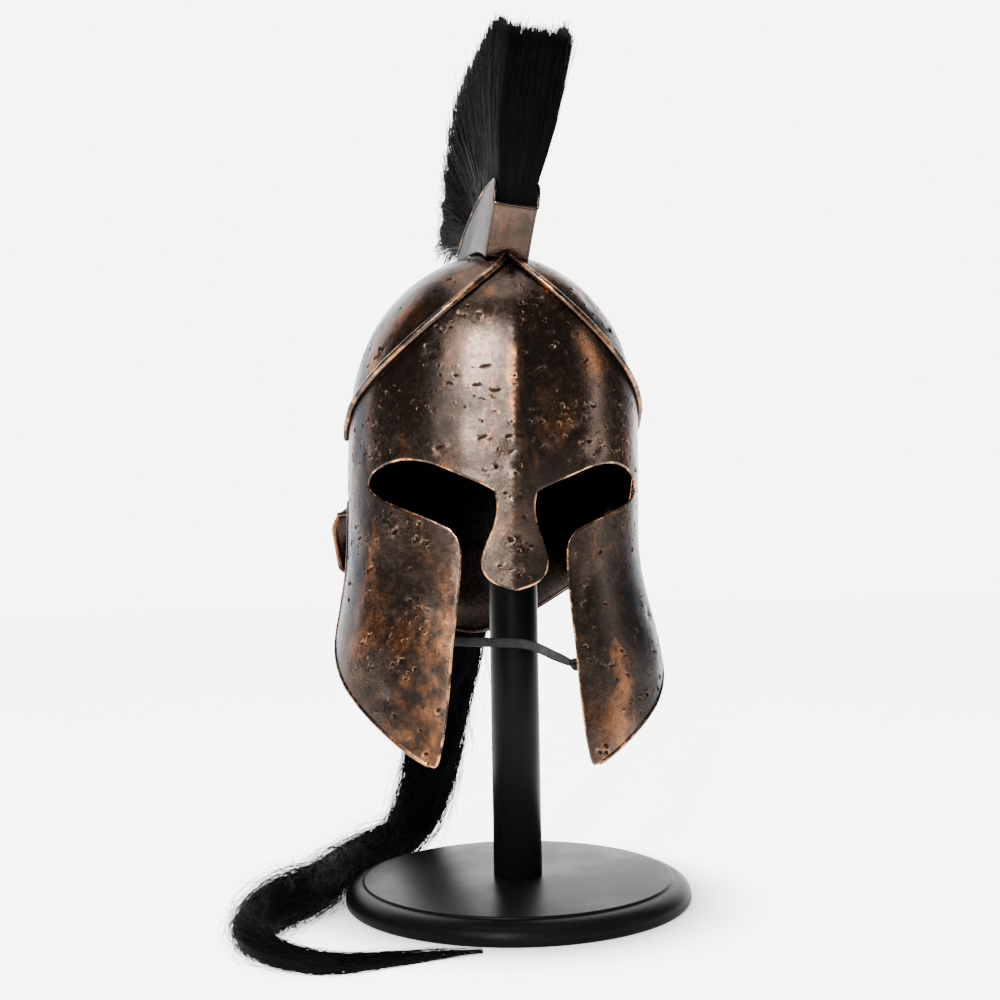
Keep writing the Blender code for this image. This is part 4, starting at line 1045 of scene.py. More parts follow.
def make_crest(hair, shaded_core_hair):
    """The upright crest: a core with locks in a darker copy of the hair, painted shade for the depth of the hair, and
    many fine hairs over it.
    """
    across_count, line_count, steps = 5, 121, 14
    shares = np.linspace(0.0, 0.90, steps)
    place = np.linspace(0.0, 1.0, line_count)
    lock = 0.5 + 0.5 * np.cos(place * 2 * pi * 22)
    sides = np.array([-1.0, -0.5, 0.0, 0.5, 1.0])
    grid = np.zeros((line_count, steps, across_count, 3))
    for k in range(line_count):
        for s, side in enumerate(sides):
            deep = 1.0 - 0.09 * lock[k] * np.clip(shares / 0.5, 0.0, 1.0)
            grid[k, :, s] = crest_lines(np.full(steps, 0.015 + 0.97 * place[k]), shares, side * 0.97 * deep)
    tops = np.array([
        [noise.noise(Vector((p * 31.0, 4.0 * side, 3.0))) for side in sides] for p in place
    ])
    grid[:, -1, :, 2] += 0.007 * tops
    left, right = grid[:, :, 0], grid[:, :, -1]
    vertices = np.concatenate([left.reshape(-1, 3), right.reshape(-1, 3)])
    far = line_count * steps
    faces = []
    for k in range(line_count - 1):
        for r in range(steps - 1):
            a, b, c, d = k * steps + r, k * steps + r + 1, (k + 1) * steps + r + 1, (k + 1) * steps + r
            faces.append((a, b, c, d))
            faces.append((far + a, far + d, far + c, far + b))
    border = [k * steps for k in range(line_count)]
    border += [(line_count - 1) * steps + r for r in range(1, steps)]
    border += [k * steps + steps - 1 for k in reversed(range(line_count - 1))]
    border += [r for r in reversed(range(1, steps - 1))]
    for a, b in zip(border, border[1:] + border[:1]):
        faces.append((a, b, far + b, far + a))
    core = new_piece("crest_core", vertices, faces, shaded_core_hair, CREST)
    fix_normals(core)
    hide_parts("crest_hair")

    draw = np.random.default_rng(101)
    total = 7200
    kind = draw.random(total)
    place = draw.random(total)
    across = draw.uniform(-1.0, 1.0, total)
    on_side = kind < 0.50
    across[on_side] = np.sign(draw.uniform(-1, 1, on_side.sum())) * (1.0 - 0.10 * draw.random(on_side.sum()) ** 2)
    at_front = (kind >= 0.50) & (kind < 0.70)
    place[at_front] = 0.05 * draw.random(at_front.sum()) ** 2
    at_back = (kind >= 0.70) & (kind < 0.85)
    place[at_back] = 1.0 - 0.06 * draw.random(at_back.sum()) ** 2
    steps = 8
    share = np.linspace(0.0, 1.0, steps)[None, :]
    lock_number = np.floor(place * 26)
    lock_length = 0.030 * np.sin(lock_number * 12.9898) * np.clip(4.0 * place - 0.6, 0.0, 1.0)
    length = 0.945 + lock_length + 0.055 * draw.random(total) + 0.03 * (draw.random(total) < 0.04)
    starts = np.where(kind >= 0.85, 0.50 + 0.2 * draw.random(total), 0.08 + 0.15 * draw.random(total) ** 2)
    starts = np.where(at_back, 0.02, starts)
    run = starts[:, None] + (length - starts)[:, None] * share
    lock_centre = (lock_number + 0.5) / 26
    gather = 0.45 * share**2 * draw.random(total)[:, None]
    place_run = place[:, None] * (1 - gather) + lock_centre[:, None] * gather
    wander = 0.012 * np.cumsum(draw.normal(0.0, 1.0, (total, steps)), axis=1) / sqrt(steps) * share
    place_run = np.clip(place_run + wander, -0.02, 1.02)
    bulge = 1.0 + 0.06 * draw.normal(0.0, 1.0, total)[:, None] * share**1.5
    points = crest_lines(np.clip(place_run, 0.0, 1.0), run, across[:, None] * bulge)
    points[..., 1] += 0.0018 * np.where(place_run < 0.02, -1.0, 0.0) * draw.random(total)[:, None] * share
    points[..., 2] -= np.where(at_back, 0.011 * draw.random(total), 0.0)[:, None] * share**2
    stray = draw.random(total) < 0.05
    push = draw.normal(0.0, 1.0, (total, 1, 3)) * np.array([0.0040, 0.0040, 0.0008])
    points += push * (share[:, :, None] ** 3) * np.where(stray, 1.0, 0.20)[:, None, None]
    thickness = 0.00042 + 0.00026 * draw.random(total)
    half = total // 2
    strands("crest_strands_a", points[:half], thickness[:half], hair, CREST, "crest_hair", 0.6)
    strands("crest_strands_b", points[half:], thickness[half:], hair, CREST, "crest_hair", 0.6)


def tail_stations(pieces):
    """The tail's path: points, outer side, half-width and half-thickness."""
    rows = []
    for k, (back, up, width, depth, lean) in enumerate(TAIL_ON_HELMET):
        start_y = BOX_FRONT_Y + BOX_LENGTH + TAIL_START_GAP
        y = start_y if k == 0 else CENTRE_Y + back * DOME_BACK
        spot = HELMET @ Vector((0.0, y, EQUATOR_Z + up * DOME_RISE))
        rows.append((*spot, width, depth, lean))
    for x, y, width, depth, lean, z in TAIL_ROUTE:
        lying = depth * TAIL_HALF_WIDTH + FLOOR_GAP
        rows.append((x, y, lying if z is None else z, width, depth, lean))
    path = np.array(spline_through(rows, pieces))
    points = path[:, :3].copy()
    points[:, 2] = np.maximum(points[:, 2], path[:, 4] * TAIL_HALF_WIDTH + FLOOR_GAP)
    lean = np.radians(path[:, 5])
    outer = np.stack([np.zeros(len(path)), np.cos(lean), np.sin(lean)], axis=1)
    tangent = np.gradient(points, axis=0)
    tangent /= np.linalg.norm(tangent, axis=1, keepdims=True)
    outer -= tangent * np.sum(outer * tangent, axis=1, keepdims=True)
    outer /= np.linalg.norm(outer, axis=1, keepdims=True)
    across = np.cross(tangent, outer)
    run = np.concatenate([[0.0], np.cumsum(np.linalg.norm(np.diff(points, axis=0), axis=1))])
    return run / run[-1], points, outer, across, path[:, 3] * TAIL_HALF_WIDTH, path[:, 4] * TAIL_HALF_WIDTH


def make_tail(hair, shaded_core_hair):
    """The tail: a core of locks in the darker copy of the hair, painted shade for the depth of the hair, and long loose
    hairs along it and round it.
    """
    at, points, outer, across, half_width, half_depth = tail_stations(8)
    sides = 28
    turns = 2 * pi * np.arange(sides) / sides
    vertices = []
    for k in range(len(points)):
        thin = 1.0 - 0.16 * float(smoothstep(at[k], 0.40, 0.60)) - 0.34 * float(smoothstep(at[k], 0.66, 0.82))
        thin = thin * (1.0 - 0.9 * float(smoothstep(at[k], 0.90, 1.0)))
        swell = thin * (0.84 + 0.08 * np.cos(7 * (turns + radians(200) * at[k] * 1.6) + 2.0 * sin(9 * at[k])))
        ring = (
            points[k] + np.outer(np.cos(turns) * swell * half_width[k], across[k])
            + np.outer(np.sin(turns) * swell * half_depth[k], outer[k])
        )
        vertices.append(ring)
    vertices = np.vstack(vertices)
    vertices[:, 2] = np.maximum(vertices[:, 2], FLOOR_GAP)
    faces = []
    for k in range(len(points) - 1):
        for n in range(sides):
            m = (n + 1) % sides
            faces.append((k * sides + n, k * sides + m, (k + 1) * sides + m, (k + 1) * sides + n))
    faces.append(list(range(sides))[::-1])
    faces.append([(len(points) - 1) * sides + n for n in range(sides)])
    core = new_piece("tail_core", vertices, faces, shaded_core_hair, None)
    fix_normals(core)
    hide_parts("tail_hair")

    def follow(total, steps, seed, start, span, radial, drift, flyaway):
        draw = np.random.default_rng(seed)
        share = np.linspace(0.0, 1.0, steps)[None, :]
        begin = start(draw, total)
        end = np.minimum(begin + span(draw, total), 1.0)
        run = begin[:, None] + (end - begin)[:, None] * share
        turn = draw.uniform(0, 2 * pi, total)[:, None] + drift * draw.normal(0.0, 1.0, total)[:, None] * share
        turn = turn + 0.25 * np.sin(draw.uniform(3, 9, total)[:, None] * share * 3 + draw.uniform(0, 6, total)[:, None])
        radius = radial(draw, total)[:, None] + flyaway(draw, total)[:, None] * share**2.5
        lock = 1.0 + 0.07 * np.cos(7 * (turn + radians(200) * run * 1.6))
        centre = np.stack([np.interp(run, at, points[:, k]) for k in range(3)], axis=-1)
        out = np.stack([np.interp(run, at, outer[:, k]) for k in range(3)], axis=-1)
        side = np.stack([np.interp(run, at, across[:, k]) for k in range(3)], axis=-1)
        width, depth = np.interp(run, at, half_width), np.interp(run, at, half_depth)
        thin = 1.0 - 0.32 * smoothstep(run, 0.66, 0.82)
        width, depth = width * thin, depth * thin
        paths = (
            centre + side * (np.cos(turn) * radius * lock * width)[..., None]
            + out * (np.sin(turn) * radius * lock * depth)[..., None]
        )
        paths[..., 2] = np.maximum(paths[..., 2], 0.0009)
        past_x = np.maximum(CAD_BOX[0][0] - paths[..., 0], 0.0)
        past_y = np.maximum(paths[..., 1] - CAD_BOX[1][1], 0.0)
        paths[..., 0] += past_x - STRAY_REACH * np.tanh(past_x / STRAY_REACH)
        paths[..., 1] -= past_y - STRAY_REACH * np.tanh(past_y / STRAY_REACH)
        return paths, 0.00034 + 0.00024 * draw.random(total)

    scale = 1.0
    laid, thick = follow(
        int(2800 * scale), 12, 211,
        lambda d, n: 0.82 * d.random(n) ** 0.9, lambda d, n: 0.16 + 0.16 * d.random(n),
        lambda d, n: 0.84 + 0.20 * d.random(n) ** 2, 0.6, lambda d, n: 0.12 * np.abs(d.normal(0.0, 1.0, n)),
    )
    half = len(laid) // 2
    strands("tail_strands_a", laid[:half], thick[:half], hair, None, "tail_hair")
    strands("tail_strands_b", laid[half:], thick[half:], hair, None, "tail_hair")
    loose, thick = follow(
        int(700 * scale), 16, 223,
        lambda d, n: 0.25 + 0.62 * d.random(n), lambda d, n: 0.10 + 0.16 * d.random(n),
        lambda d, n: 0.9 + 0.2 * d.random(n), 1.3, lambda d, n: 0.9 * np.abs(d.normal(0.0, 1.0, n)),
    )
    strands("tail_strays", loose, thick * 0.7, hair, None, "tail_hair")
    wisps, thick = follow(
        int(760 * scale), 20, 229,
        lambda d, n: 0.42 + 0.42 * d.random(n), lambda d, n: 0.12 + 0.14 * d.random(n),
        lambda d, n: 1.0 + 0.25 * d.random(n), 3.2, lambda d, n: 0.4 + 0.8 * np.abs(d.normal(0.0, 1.0, n)),
    )
    strands("tail_wisps", wisps, thick * 0.7, hair, None, "tail_hair")


# Chin strap

def make_strap(leather):
    """The leather strap with its knot."""
    out = PLATE_GAP - STRAP_GAP - 0.5 * STRAP_THICKNESS
    cheek = [(a, EQUATOR_Z - drop * SKIRT_HEIGHT) for a, drop in STRAP_ON_CHEEK]

    def beside_plate(a, z):
        return (*on_form(a, z, out), *form_normal(a, z), 0.0)

    rows = [beside_plate(-a, z) for a, z in cheek]
    for share, y, drop in STRAP_FREE:
        knot = 1.0 if share == KNOT_PLACE else 0.0
        facing = Vector((0.3 * share, -1.0, 0.0)).normalized()
        rows.append((share * DOME_HALF_WIDTH, y, EQUATOR_Z - drop * SKIRT_HEIGHT, *facing, knot))
    rows += [beside_plate(a, z) for a, z in reversed(cheek)]
    path = np.array(spline_through(rows, 12))
    points, outer, knot = path[:, :3], path[:, 3:6], np.clip(path[:, 6], 0.0, 1.0)
    tangent = np.gradient(points, axis=0)
    tangent /= np.linalg.norm(tangent, axis=1, keepdims=True)
    outer = outer - tangent * np.sum(outer * tangent, axis=1, keepdims=True)
    outer /= np.linalg.norm(outer, axis=1, keepdims=True)
    across = np.cross(tangent, outer)
    profile = []
    for k in range(16):
        a = 2 * pi * k / 16
        c, s = cos(a), sin(a)
        profile.append((np.sign(c) * abs(c) ** 0.45, np.sign(s) * abs(s) ** 0.45))
    vertices = []
    for k in range(len(points)):
        pinch = 1.0 - 0.35 * np.exp(-((k - np.argmax(knot)) / 7.0) ** 2)
        for u, v in profile:
            vertices.append(
                points[k] + across[k] * u * 0.5 * STRAP_WIDTH * pinch + outer[k] * v * 0.5 * STRAP_THICKNESS
            )
    count = len(profile)
    faces = []
    for k in range(len(points) - 1):
        for n in range(count):
            m = (n + 1) % count
            faces.append((k * count + n, k * count + m, (k + 1) * count + m, (k + 1) * count + n))
    faces.append(list(range(count))[::-1])
    faces.append([(len(points) - 1) * count + n for n in range(count)])
    strap = new_piece("chin_strap_band", vertices, faces, leather, HELMET)
    fix_normals(strap)
    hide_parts("chin_strap")

    centre = points[int(np.argmax(knot))]
    for name, turn, tilt, size in (
        ("strap_knot_over", 0.25, 0.5, 1.0), ("strap_knot_under", 1.45, -0.3, 0.95), ("strap_knot_wrap", 2.5, 0.9, 0.8),
    ):
        ring = []
        for k in range(25):
            a = 2 * pi * k / 24
            p = Vector((cos(a) * 0.0028 * size, 0.0016 * sin(2 * a + tilt), sin(a) * 0.0034 * size))
            ring.append(Matrix.Rotation(turn, 3, "Y") @ (Matrix.Rotation(tilt, 3, "X") @ p))
        loop = np.array([tuple(p) for p in ring]) + centre
        tube = closed_tube(name, loop[:-1], 0.00135, 8, leather, HELMET)
        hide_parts("chin_strap")
    tail = spline_through([
        tuple(centre + np.array(p)) for p in (
            (0.0, -0.0025, -0.001), (0.0022, -0.0042, -0.006), (0.0036, -0.0046, -0.011), (0.0030, -0.0044, -0.015),
        )
    ], 6)
    end = closed_rod("strap_end", np.array(tail), 0.0012, 8, leather, HELMET)
    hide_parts("chin_strap")


def closed_tube(name, loop, radius, sides, material, matrix):
    """A round loop of rod."""
    count = len(loop)
    tangent = np.roll(loop, -1, axis=0) - np.roll(loop, 1, axis=0)
    tangent /= np.linalg.norm(tangent, axis=1, keepdims=True)
    side = np.cross(tangent, np.array([0.12, 0.9, 0.42]))
    side /= np.linalg.norm(side, axis=1, keepdims=True)
    other = np.cross(tangent, side)
    turns = 2 * pi * np.arange(sides) / sides
    ring = np.cos(turns)[None, :, None] * side[:, None] + np.sin(turns)[None, :, None] * other[:, None]
    vertices = (loop[:, None] + ring * radius).reshape(-1, 3)
    faces = []
    for k in range(count):
        j = (k + 1) % count
        for n in range(sides):
            m = (n + 1) % sides
            faces.append((k * sides + n, k * sides + m, j * sides + m, j * sides + n))
    piece = new_piece(name, vertices, faces, material, matrix)
    fix_normals(piece)
    return piece


def closed_rod(name, line, radius, sides, material, matrix):
    """A round rod with closed, slightly rounded ends."""
    count = len(line)
    tangent = np.gradient(line, axis=0)
    tangent /= np.linalg.norm(tangent, axis=1, keepdims=True)
    side = np.cross(tangent, np.array([0.12, 0.9, 0.42]))
    side /= np.linalg.norm(side, axis=1, keepdims=True)
    other = np.cross(tangent, side)
    turns = 2 * pi * np.arange(sides) / sides
    ring = np.cos(turns)[None, :, None] * side[:, None] + np.sin(turns)[None, :, None] * other[:, None]
    size = np.full(count, radius)
    size[0] = size[-1] = 0.6 * radius
    vertices = (line[:, None] + ring * size[:, None, None]).reshape(-1, 3)
    faces = []
    for k in range(count - 1):
        for n in range(sides):
            m = (n + 1) % sides
            faces.append((k * sides + n, k * sides + m, (k + 1) * sides + m, (k + 1) * sides + n))
    faces.append(list(range(sides))[::-1])
    faces.append([(count - 1) * sides + n for n in range(sides)])
    piece = new_piece(name, vertices, faces, material, matrix)
    fix_normals(piece)
    return piece


# Stand

def turned(name, profile, steps, material, node):
    """A turned body from (radius, height) points, from the top of its axis to the bottom."""
    vertices = [(0.0, 0.0, profile[0][1])]
    rings = [p for p in profile if p[0] > 0]
    for r, z in rings:
        vertices += [(r * cos(2 * pi * k / steps), r * sin(2 * pi * k / steps), z) for k in range(steps)]
    vertices.append((0.0, 0.0, profile[-1][1]))
    end = len(vertices) - 1
    faces = [(0, 1 + k, 1 + (k + 1) % steps) for k in range(steps)]
    for i in range(len(rings) - 1):
        a = 1 + i * steps
        for k in range(steps):
            m = (k + 1) % steps
            faces.append((a + k, a + steps + k, a + steps + m, a + m))
    a = 1 + (len(rings) - 1) * steps
    faces += [(end, a + (k + 1) % steps, a + k) for k in range(steps)]
    piece = new_piece(name, vertices, faces, material, None, True, 50)
    fix_normals(piece)
    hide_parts(node)
    return piece


def make_stand(wood):
    """Base with its moulded edge, the post and the rounded head."""
    shoulder = BASE_RADIUS - BASE_EDGE
    step_z = BASE_HEIGHT - BASE_STEP
    profile = [(0.0, BASE_HEIGHT), (shoulder - 0.0012, BASE_HEIGHT)]
    for k in range(1, 5):
        a = pi / 2 * k / 4
        profile.append((shoulder - 0.0012 + 0.0012 * sin(a), BASE_HEIGHT - 0.0008 * (1 - cos(a))))
    profile += [(shoulder + 0.0002, step_z + 0.0003), (shoulder + 0.0008, step_z)]
    reach, fall = BASE_EDGE - 0.0008, step_z - 0.0045
    for k in range(1, 13):
        a = pi / 2 * k / 12
        profile.append((shoulder + 0.0008 + reach * sin(a), 0.0045 + fall * cos(a)))
    profile += [(BASE_RADIUS, 0.0030), (BASE_RADIUS - 0.0004, 0.0012), (BASE_RADIUS - 0.0016, 0.0), (0.0, 0.0)]
    turned("base_turned", profile, 160, wood, "stand_base")

    post_low, post_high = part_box("stand_post")[0][2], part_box("stand_post")[1][2]
    post = [(0.0, post_high), (POST_RADIUS - 0.0006, post_high), (POST_RADIUS, post_high - 0.0006)]
    post += [(POST_RADIUS, post_low + 0.0004), (POST_RADIUS - 0.0004, post_low), (0.0, post_low)]
    turned("post_turned", post, 72, wood, "stand_post")

    head_low, head_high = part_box("stand_head")[0][2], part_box("stand_head")[1][2]
    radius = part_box("stand_head")[1][0]
    centre = head_high - radius
    start = atan2(POST_RADIUS + 0.003, centre - head_low)
    ball = [(0.0, head_high)]
    for k in range(1, 33):
        a = (pi - start) * k / 32
        ball.append((radius * sin(a), centre + radius * cos(a)))
    turned("head_turned", ball + [(0.0, head_low)], 72, wood, "stand_head")


# Materials

def material_with(name, colour, metallic, roughness):
    """A material, its node tree and its Principled node."""
    material = bpy.data.materials.new(name)
    material.use_nodes = True
    tree = material.node_tree
    shader = tree.nodes["Principled BSDF"]
    shader.inputs["Base Color"].default_value = (*colour, 1.0)
    shader.inputs["Metallic"].default_value = metallic
    shader.inputs["Roughness"].default_value = roughness
    return material, tree, shader


def add_noise(tree, scale, detail=6.0, rough=0.6, distortion=0.0, stretch=None):
    """A noise over the object's own coordinates."""
    where = tree.nodes.new("ShaderNodeTexCoord")
    vector = where.outputs["Object"]
    if stretch:
        mapping = tree.nodes.new("ShaderNodeMapping")
        mapping.inputs["Scale"].default_value = stretch
        tree.links.new(vector, mapping.inputs["Vector"])
        vector = mapping.outputs["Vector"]
    node = tree.nodes.new("ShaderNodeTexNoise")
    node.inputs["Scale"].default_value = scale
    node.inputs["Detail"].default_value = detail
    node.inputs["Roughness"].default_value = rough
    node.inputs["Distortion"].default_value = distortion
    tree.links.new(vector, node.inputs["Vector"])
    return node.outputs["Fac"]


def span(tree, value, low, high, to_low=0.0, to_high=1.0):
    """A number from low..high, stretched to another range and kept within it."""
    node = tree.nodes.new("ShaderNodeMapRange")
    node.interpolation_type = "SMOOTHSTEP"
    for key, number in (("From Min", low), ("From Max", high), ("To Min", to_low), ("To Max", to_high)):
        node.inputs[key].default_value = number
    tree.links.new(value, node.inputs["Value"])
    return node.outputs["Result"]


def math(tree, operation, a, b):
    """Two numbers joined by one operation."""
    node = tree.nodes.new("ShaderNodeMath")
    node.operation = operation
    for socket, value in zip(node.inputs, (a, b)):
        if isinstance(value, (int, float)):
            socket.default_value = value
        else:
            tree.links.new(value, socket)
    return node.outputs[0]


def mix(tree, factor, a, b):
    """Two colours mixed by a factor."""
    node = tree.nodes.new("ShaderNodeMix")
    node.data_type = "RGBA"
    for socket, value in ((node.inputs[0], factor), (node.inputs[6], a), (node.inputs[7], b)):
        if isinstance(value, (int, float)):
            socket.default_value = value
        elif isinstance(value, tuple):
            socket.default_value = (*value, 1.0)
        else:
            tree.links.new(value, socket)
    return node.outputs[2]


def attribute(tree, name):
    """A number stored on the vertices."""
    node = tree.nodes.new("ShaderNodeAttribute")
    node.attribute_name = name
    return node.outputs["Fac"]


def bump(tree, shader, height_value, strength, distance):
    """Fine relief in the shading."""
    node = tree.nodes.new("ShaderNodeBump")
    node.inputs["Strength"].default_value = strength
    node.inputs["Distance"].default_value = distance
    tree.links.new(height_value, node.inputs["Height"])
    tree.links.new(node.outputs["Normal"], shader.inputs["Normal"])


def bronze_material(name, dark, brown, copper, bright, shine):
    """Aged bronze: dark patina, brown and copper stains, worn bright edges and dark pits, with painted shade in a band
    under the brow rim and a faint painted highlight on the lips round the pits.
    """
    material, tree, shader = material_with(name, brown, 1.0, 0.4)
    shader.inputs["Specular Tint"].default_value = (0.50, 0.52, 0.54, 1.0)
    broad = add_noise(tree, 13.0, 9.0, 0.62, 0.4, (1.0, 1.0, 0.6))
    stain = add_noise(tree, 24.0, 9.0, 0.66, 0.6, (1.0, 1.0, 0.55))
    speck = add_noise(tree, 260.0, 4.0, 0.7)
    grime = add_noise(tree, 70.0, 8.0, 0.7)
    colour = mix(tree, span(tree, broad, 0.38, 0.62), dark, brown)
    stained = math(tree, "MULTIPLY", span(tree, stain, 0.49, 0.67), span(tree, grime, 0.35, 0.57))
    colour = mix(tree, math(tree, "MULTIPLY", stained, 0.60), colour, copper)
    colour = mix(tree, span(tree, speck, 0.60, 0.78, 0.0, 0.55), colour, dark)
    # Painted shade: darken the band just under the brow rim.
    colour = mix(tree, math(tree, "MULTIPLY", attribute(tree, "under_brow_shade"), 0.55), colour, dark)
    worn = math(tree, "MULTIPLY", attribute(tree, "edge"), span(tree, grime, 0.40, 0.60, 0.10, 0.95))
    colour = mix(tree, span(tree, worn, 0.30, 0.95), colour, bright)
    # Painted highlight: the raised lips round the pits are lightened a little.
    colour = mix(tree, math(tree, "MULTIPLY", attribute(tree, "lip"), 0.10), colour, bright)
    colour = mix(tree, math(tree, "MULTIPLY", attribute(tree, "pit"), 0.93), colour, (0.006, 0.005, 0.004))
    colour = mix(tree, math(tree, "MULTIPLY", attribute(tree, "inside"), 0.90), colour, (0.012, 0.010, 0.009))
    tree.links.new(colour, shader.inputs["Base Color"])
    rough = span(tree, broad, 0.35, 0.65, shine + 0.12, shine - 0.03)
    rough = math(tree, "ADD", rough, span(tree, speck, 0.40, 0.75, -0.03, 0.10))
    rough = math(tree, "ADD", rough, math(tree, "MULTIPLY", attribute(tree, "pit"), 0.3))
    tree.links.new(rough, shader.inputs["Roughness"])
    fine = math(tree, "ADD", math(tree, "MULTIPLY", grime, 0.8), math(tree, "MULTIPLY", speck, 0.35))
    bump(tree, shader, fine, 0.35, 0.0009)
    return material


def hair_material(name, colour, roughness):
    """Black horsehair with a slight sheen."""
    material, tree, shader = material_with(name, colour, 0.0, roughness)
    tone = add_noise(tree, 60.0, 4.0, 0.6)
    tree.links.new(
        mix(tree, tone, tuple(0.6 * c for c in colour), tuple(1.7 * c for c in colour)), shader.inputs["Base Color"],
    )
    shader.inputs["Specular IOR Level"].default_value = 0.014
    return material


def leather_material():
    """Black strap leather with grain."""
    material, tree, shader = material_with("strap_leather", (0.012, 0.011, 0.010), 0.0, 0.5)
    shader.inputs["Specular IOR Level"].default_value = 0.15
    grain = tree.nodes.new("ShaderNodeTexVoronoi")
    grain.inputs["Scale"].default_value = 900.0
    where = tree.nodes.new("ShaderNodeTexCoord")
    tree.links.new(where.outputs["Object"], grain.inputs["Vector"])
    wear = add_noise(tree, 180.0, 5.0, 0.6)
    tree.links.new(
        mix(tree, span(tree, wear, 0.5, 0.75), (0.004, 0.0038, 0.0036), (0.014, 0.012, 0.011)),
        shader.inputs["Base Color"],
    )
    tree.links.new(span(tree, wear, 0.3, 0.7, 0.42, 0.62), shader.inputs["Roughness"])
    bump(tree, shader, grain.outputs["Distance"], 0.35, 0.0004)
    return material


def wood_material():
    """Satin black lacquer over turned wood."""
    material, tree, shader = material_with("black_lacquered_wood", (0.008, 0.008, 0.009), 0.0, 0.30)
    shader.inputs["Specular IOR Level"].default_value = 0.025
    grain = add_noise(tree, 40.0, 6.0, 0.6, 0.2, (1.0, 8.0, 1.0))
    smudge = add_noise(tree, 18.0, 5.0, 0.6)
    tree.links.new(
        mix(tree, grain, (0.0016, 0.0016, 0.0018), (0.0030, 0.0030, 0.0032)), shader.inputs["Base Color"],
    )
    tree.links.new(span(tree, smudge, 0.35, 0.65, 0.34, 0.42), shader.inputs["Roughness"])
    bump(tree, shader, grain, 0.03, 0.0002)
    return material


# Stage

def add_light(name, place, target, size, power, colour=(1.0, 1.0, 1.0)):
    """A soft rectangular light."""
    data = bpy.data.lights.new(name, "AREA")
    data.shape = "RECTANGLE"
    data.size, data.size_y = size
    data.energy = power
    data.color = colour
    light = bpy.data.objects.new(name, data)
    light.location = place
    light.rotation_euler = (Vector(target) - Vector(place)).to_track_quat("-Z", "Y").to_euler()
    bpy.context.scene.collection.objects.link(light)
    return light


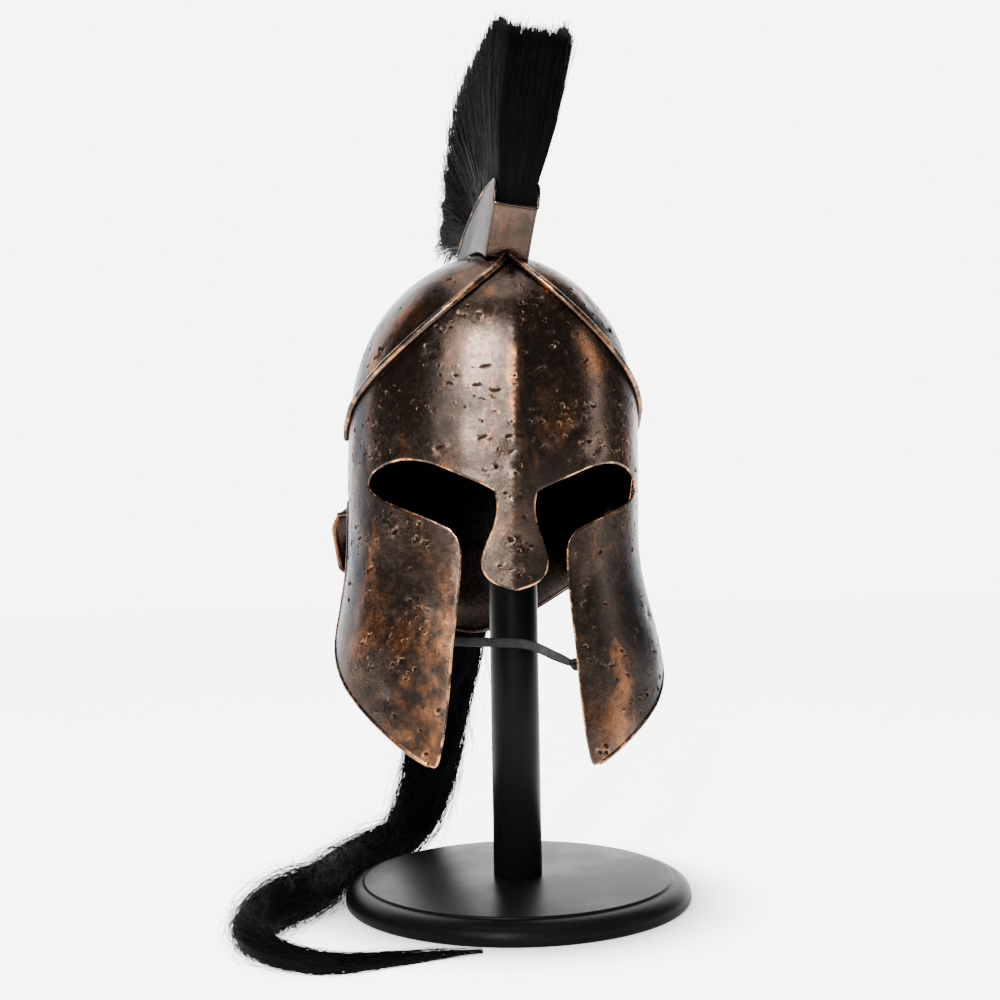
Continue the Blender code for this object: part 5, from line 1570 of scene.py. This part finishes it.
def make_stage():
    """A floor that glows though it is no lamp (painted light), dimmer towards the front and with a painted shadow round
    the base; soft lights and the camera.
    """
    material, tree, shader = material_with("pale_floor", (0.55, 0.55, 0.55), 0.0, 0.75)
    shader.inputs["Specular IOR Level"].default_value = 0.2
    shader.inputs["Emission Color"].default_value = (1.0, 1.0, 1.0, 1.0)
    where = tree.nodes.new("ShaderNodeTexCoord")
    parts = tree.nodes.new("ShaderNodeSeparateXYZ")
    tree.links.new(where.outputs["Object"], parts.inputs["Vector"])
    # Painted light: the floor's own glow, weaker towards the front.
    glow = span(tree, parts.outputs["Y"], -0.50, -0.25, 0.15 * FLOOR_GLOW, FLOOR_GLOW)
    flat = tree.nodes.new("ShaderNodeCombineXYZ")
    tree.links.new(parts.outputs["X"], flat.inputs["X"])
    tree.links.new(parts.outputs["Y"], flat.inputs["Y"])
    away = tree.nodes.new("ShaderNodeVectorMath")
    away.operation = "LENGTH"
    tree.links.new(flat.outputs["Vector"], away.inputs[0])
    # Painted shadow: the glow falls away close round the base.
    painted_shadow_round_base = span(tree, away.outputs["Value"], BASE_RADIUS - 0.015, BASE_RADIUS + 0.065, 0.04, 1.0)
    tree.links.new(math(tree, "MULTIPLY", glow, painted_shadow_round_base), shader.inputs["Emission Strength"])
    mesh = bpy.data.meshes.new("floor")
    reach = 6.0
    mesh.from_pydata([(-reach, -reach, 0), (reach, -reach, 0), (reach, reach, 0), (-reach, reach, 0)], [], [(0, 1, 2, 3)])
    floor = bpy.data.objects.new("floor", mesh)
    mesh.materials.append(material)
    bpy.context.scene.collection.objects.link(floor)

    world = bpy.data.worlds.new("studio")
    world.use_nodes = True
    tree = world.node_tree
    background = tree.nodes["Background"]
    where = tree.nodes.new("ShaderNodeTexCoord")
    parts = tree.nodes.new("ShaderNodeSeparateXYZ")
    tree.links.new(where.outputs["Generated"], parts.inputs["Vector"])
    glow = span(tree, parts.outputs["Y"], 0.45, 0.76, WORLD_BEHIND_CAMERA, WORLD_BEHIND_HELMET)
    background.inputs["Color"].default_value = (1.0, 1.0, 1.0, 1.0)
    tree.links.new(glow, background.inputs["Strength"])
    bpy.context.scene.world = world

    aim = (0.0, 0.0, 0.32)
    add_light("key_left", (-1.3, -1.5, 1.3), aim, (0.4, 1.6), 30.0)
    add_light("strip_front", (-0.58, -1.6, 0.9), aim, (0.04, 1.3), 80.0)
    add_light("fill_right", (1.9, -0.5, 0.8), aim, (0.25, 1.5), 9.0)
    add_light("top", (0.0, 0.1, 2.1), aim, (1.6, 1.6), 34.0)

    data = bpy.data.cameras.new("camera")
    data.lens = CAMERA_LENS
    data.sensor_width = 36.0
    data.dof.use_dof = False
    camera = bpy.data.objects.new("camera", data)
    camera.matrix_world = (
        Matrix.Translation(CAMERA_PLACE) @ Matrix.Rotation(radians(CAMERA_HEADING), 4, "Z")
        @ Matrix.Rotation(pi / 2 + radians(CAMERA_PITCH), 4, "X") @ Matrix.Rotation(radians(CAMERA_ROLL), 4, "Z")
    )
    bpy.context.scene.collection.objects.link(camera)
    bpy.context.scene.camera = camera


def main():
    bronze = bronze_material(
        "aged_bronze", (0.019, 0.0150, 0.0130), (0.066, 0.045, 0.034), (0.24, 0.095, 0.036), (0.46, 0.215, 0.092), 0.215,
    )
    panel_bronze = bronze_material(
        "rubbed_bronze", (0.040, 0.034, 0.031), (0.075, 0.062, 0.054), (0.13, 0.075, 0.045), (0.35, 0.20, 0.11), 0.42,
    )
    hair = hair_material("black_horsehair", (0.0022, 0.0020, 0.0020), 0.40)
    # The cores get a darker, duller copy of the hair: painted shade for the depth of the hair mass.
    shaded_core_hair = hair_material("black_horsehair_core_painted_shade", (0.0008, 0.0008, 0.0008), 0.8)
    leather = leather_material()
    wood = wood_material()
    make_stage()
    make_face_plate(bronze)
    make_skull(bronze)
    make_rims(bronze)
    make_crest_box(bronze, panel_bronze)
    make_crest(hair, shaded_core_hair)
    make_tail(hair, shaded_core_hair)
    make_strap(leather)
    make_stand(wood)


main()
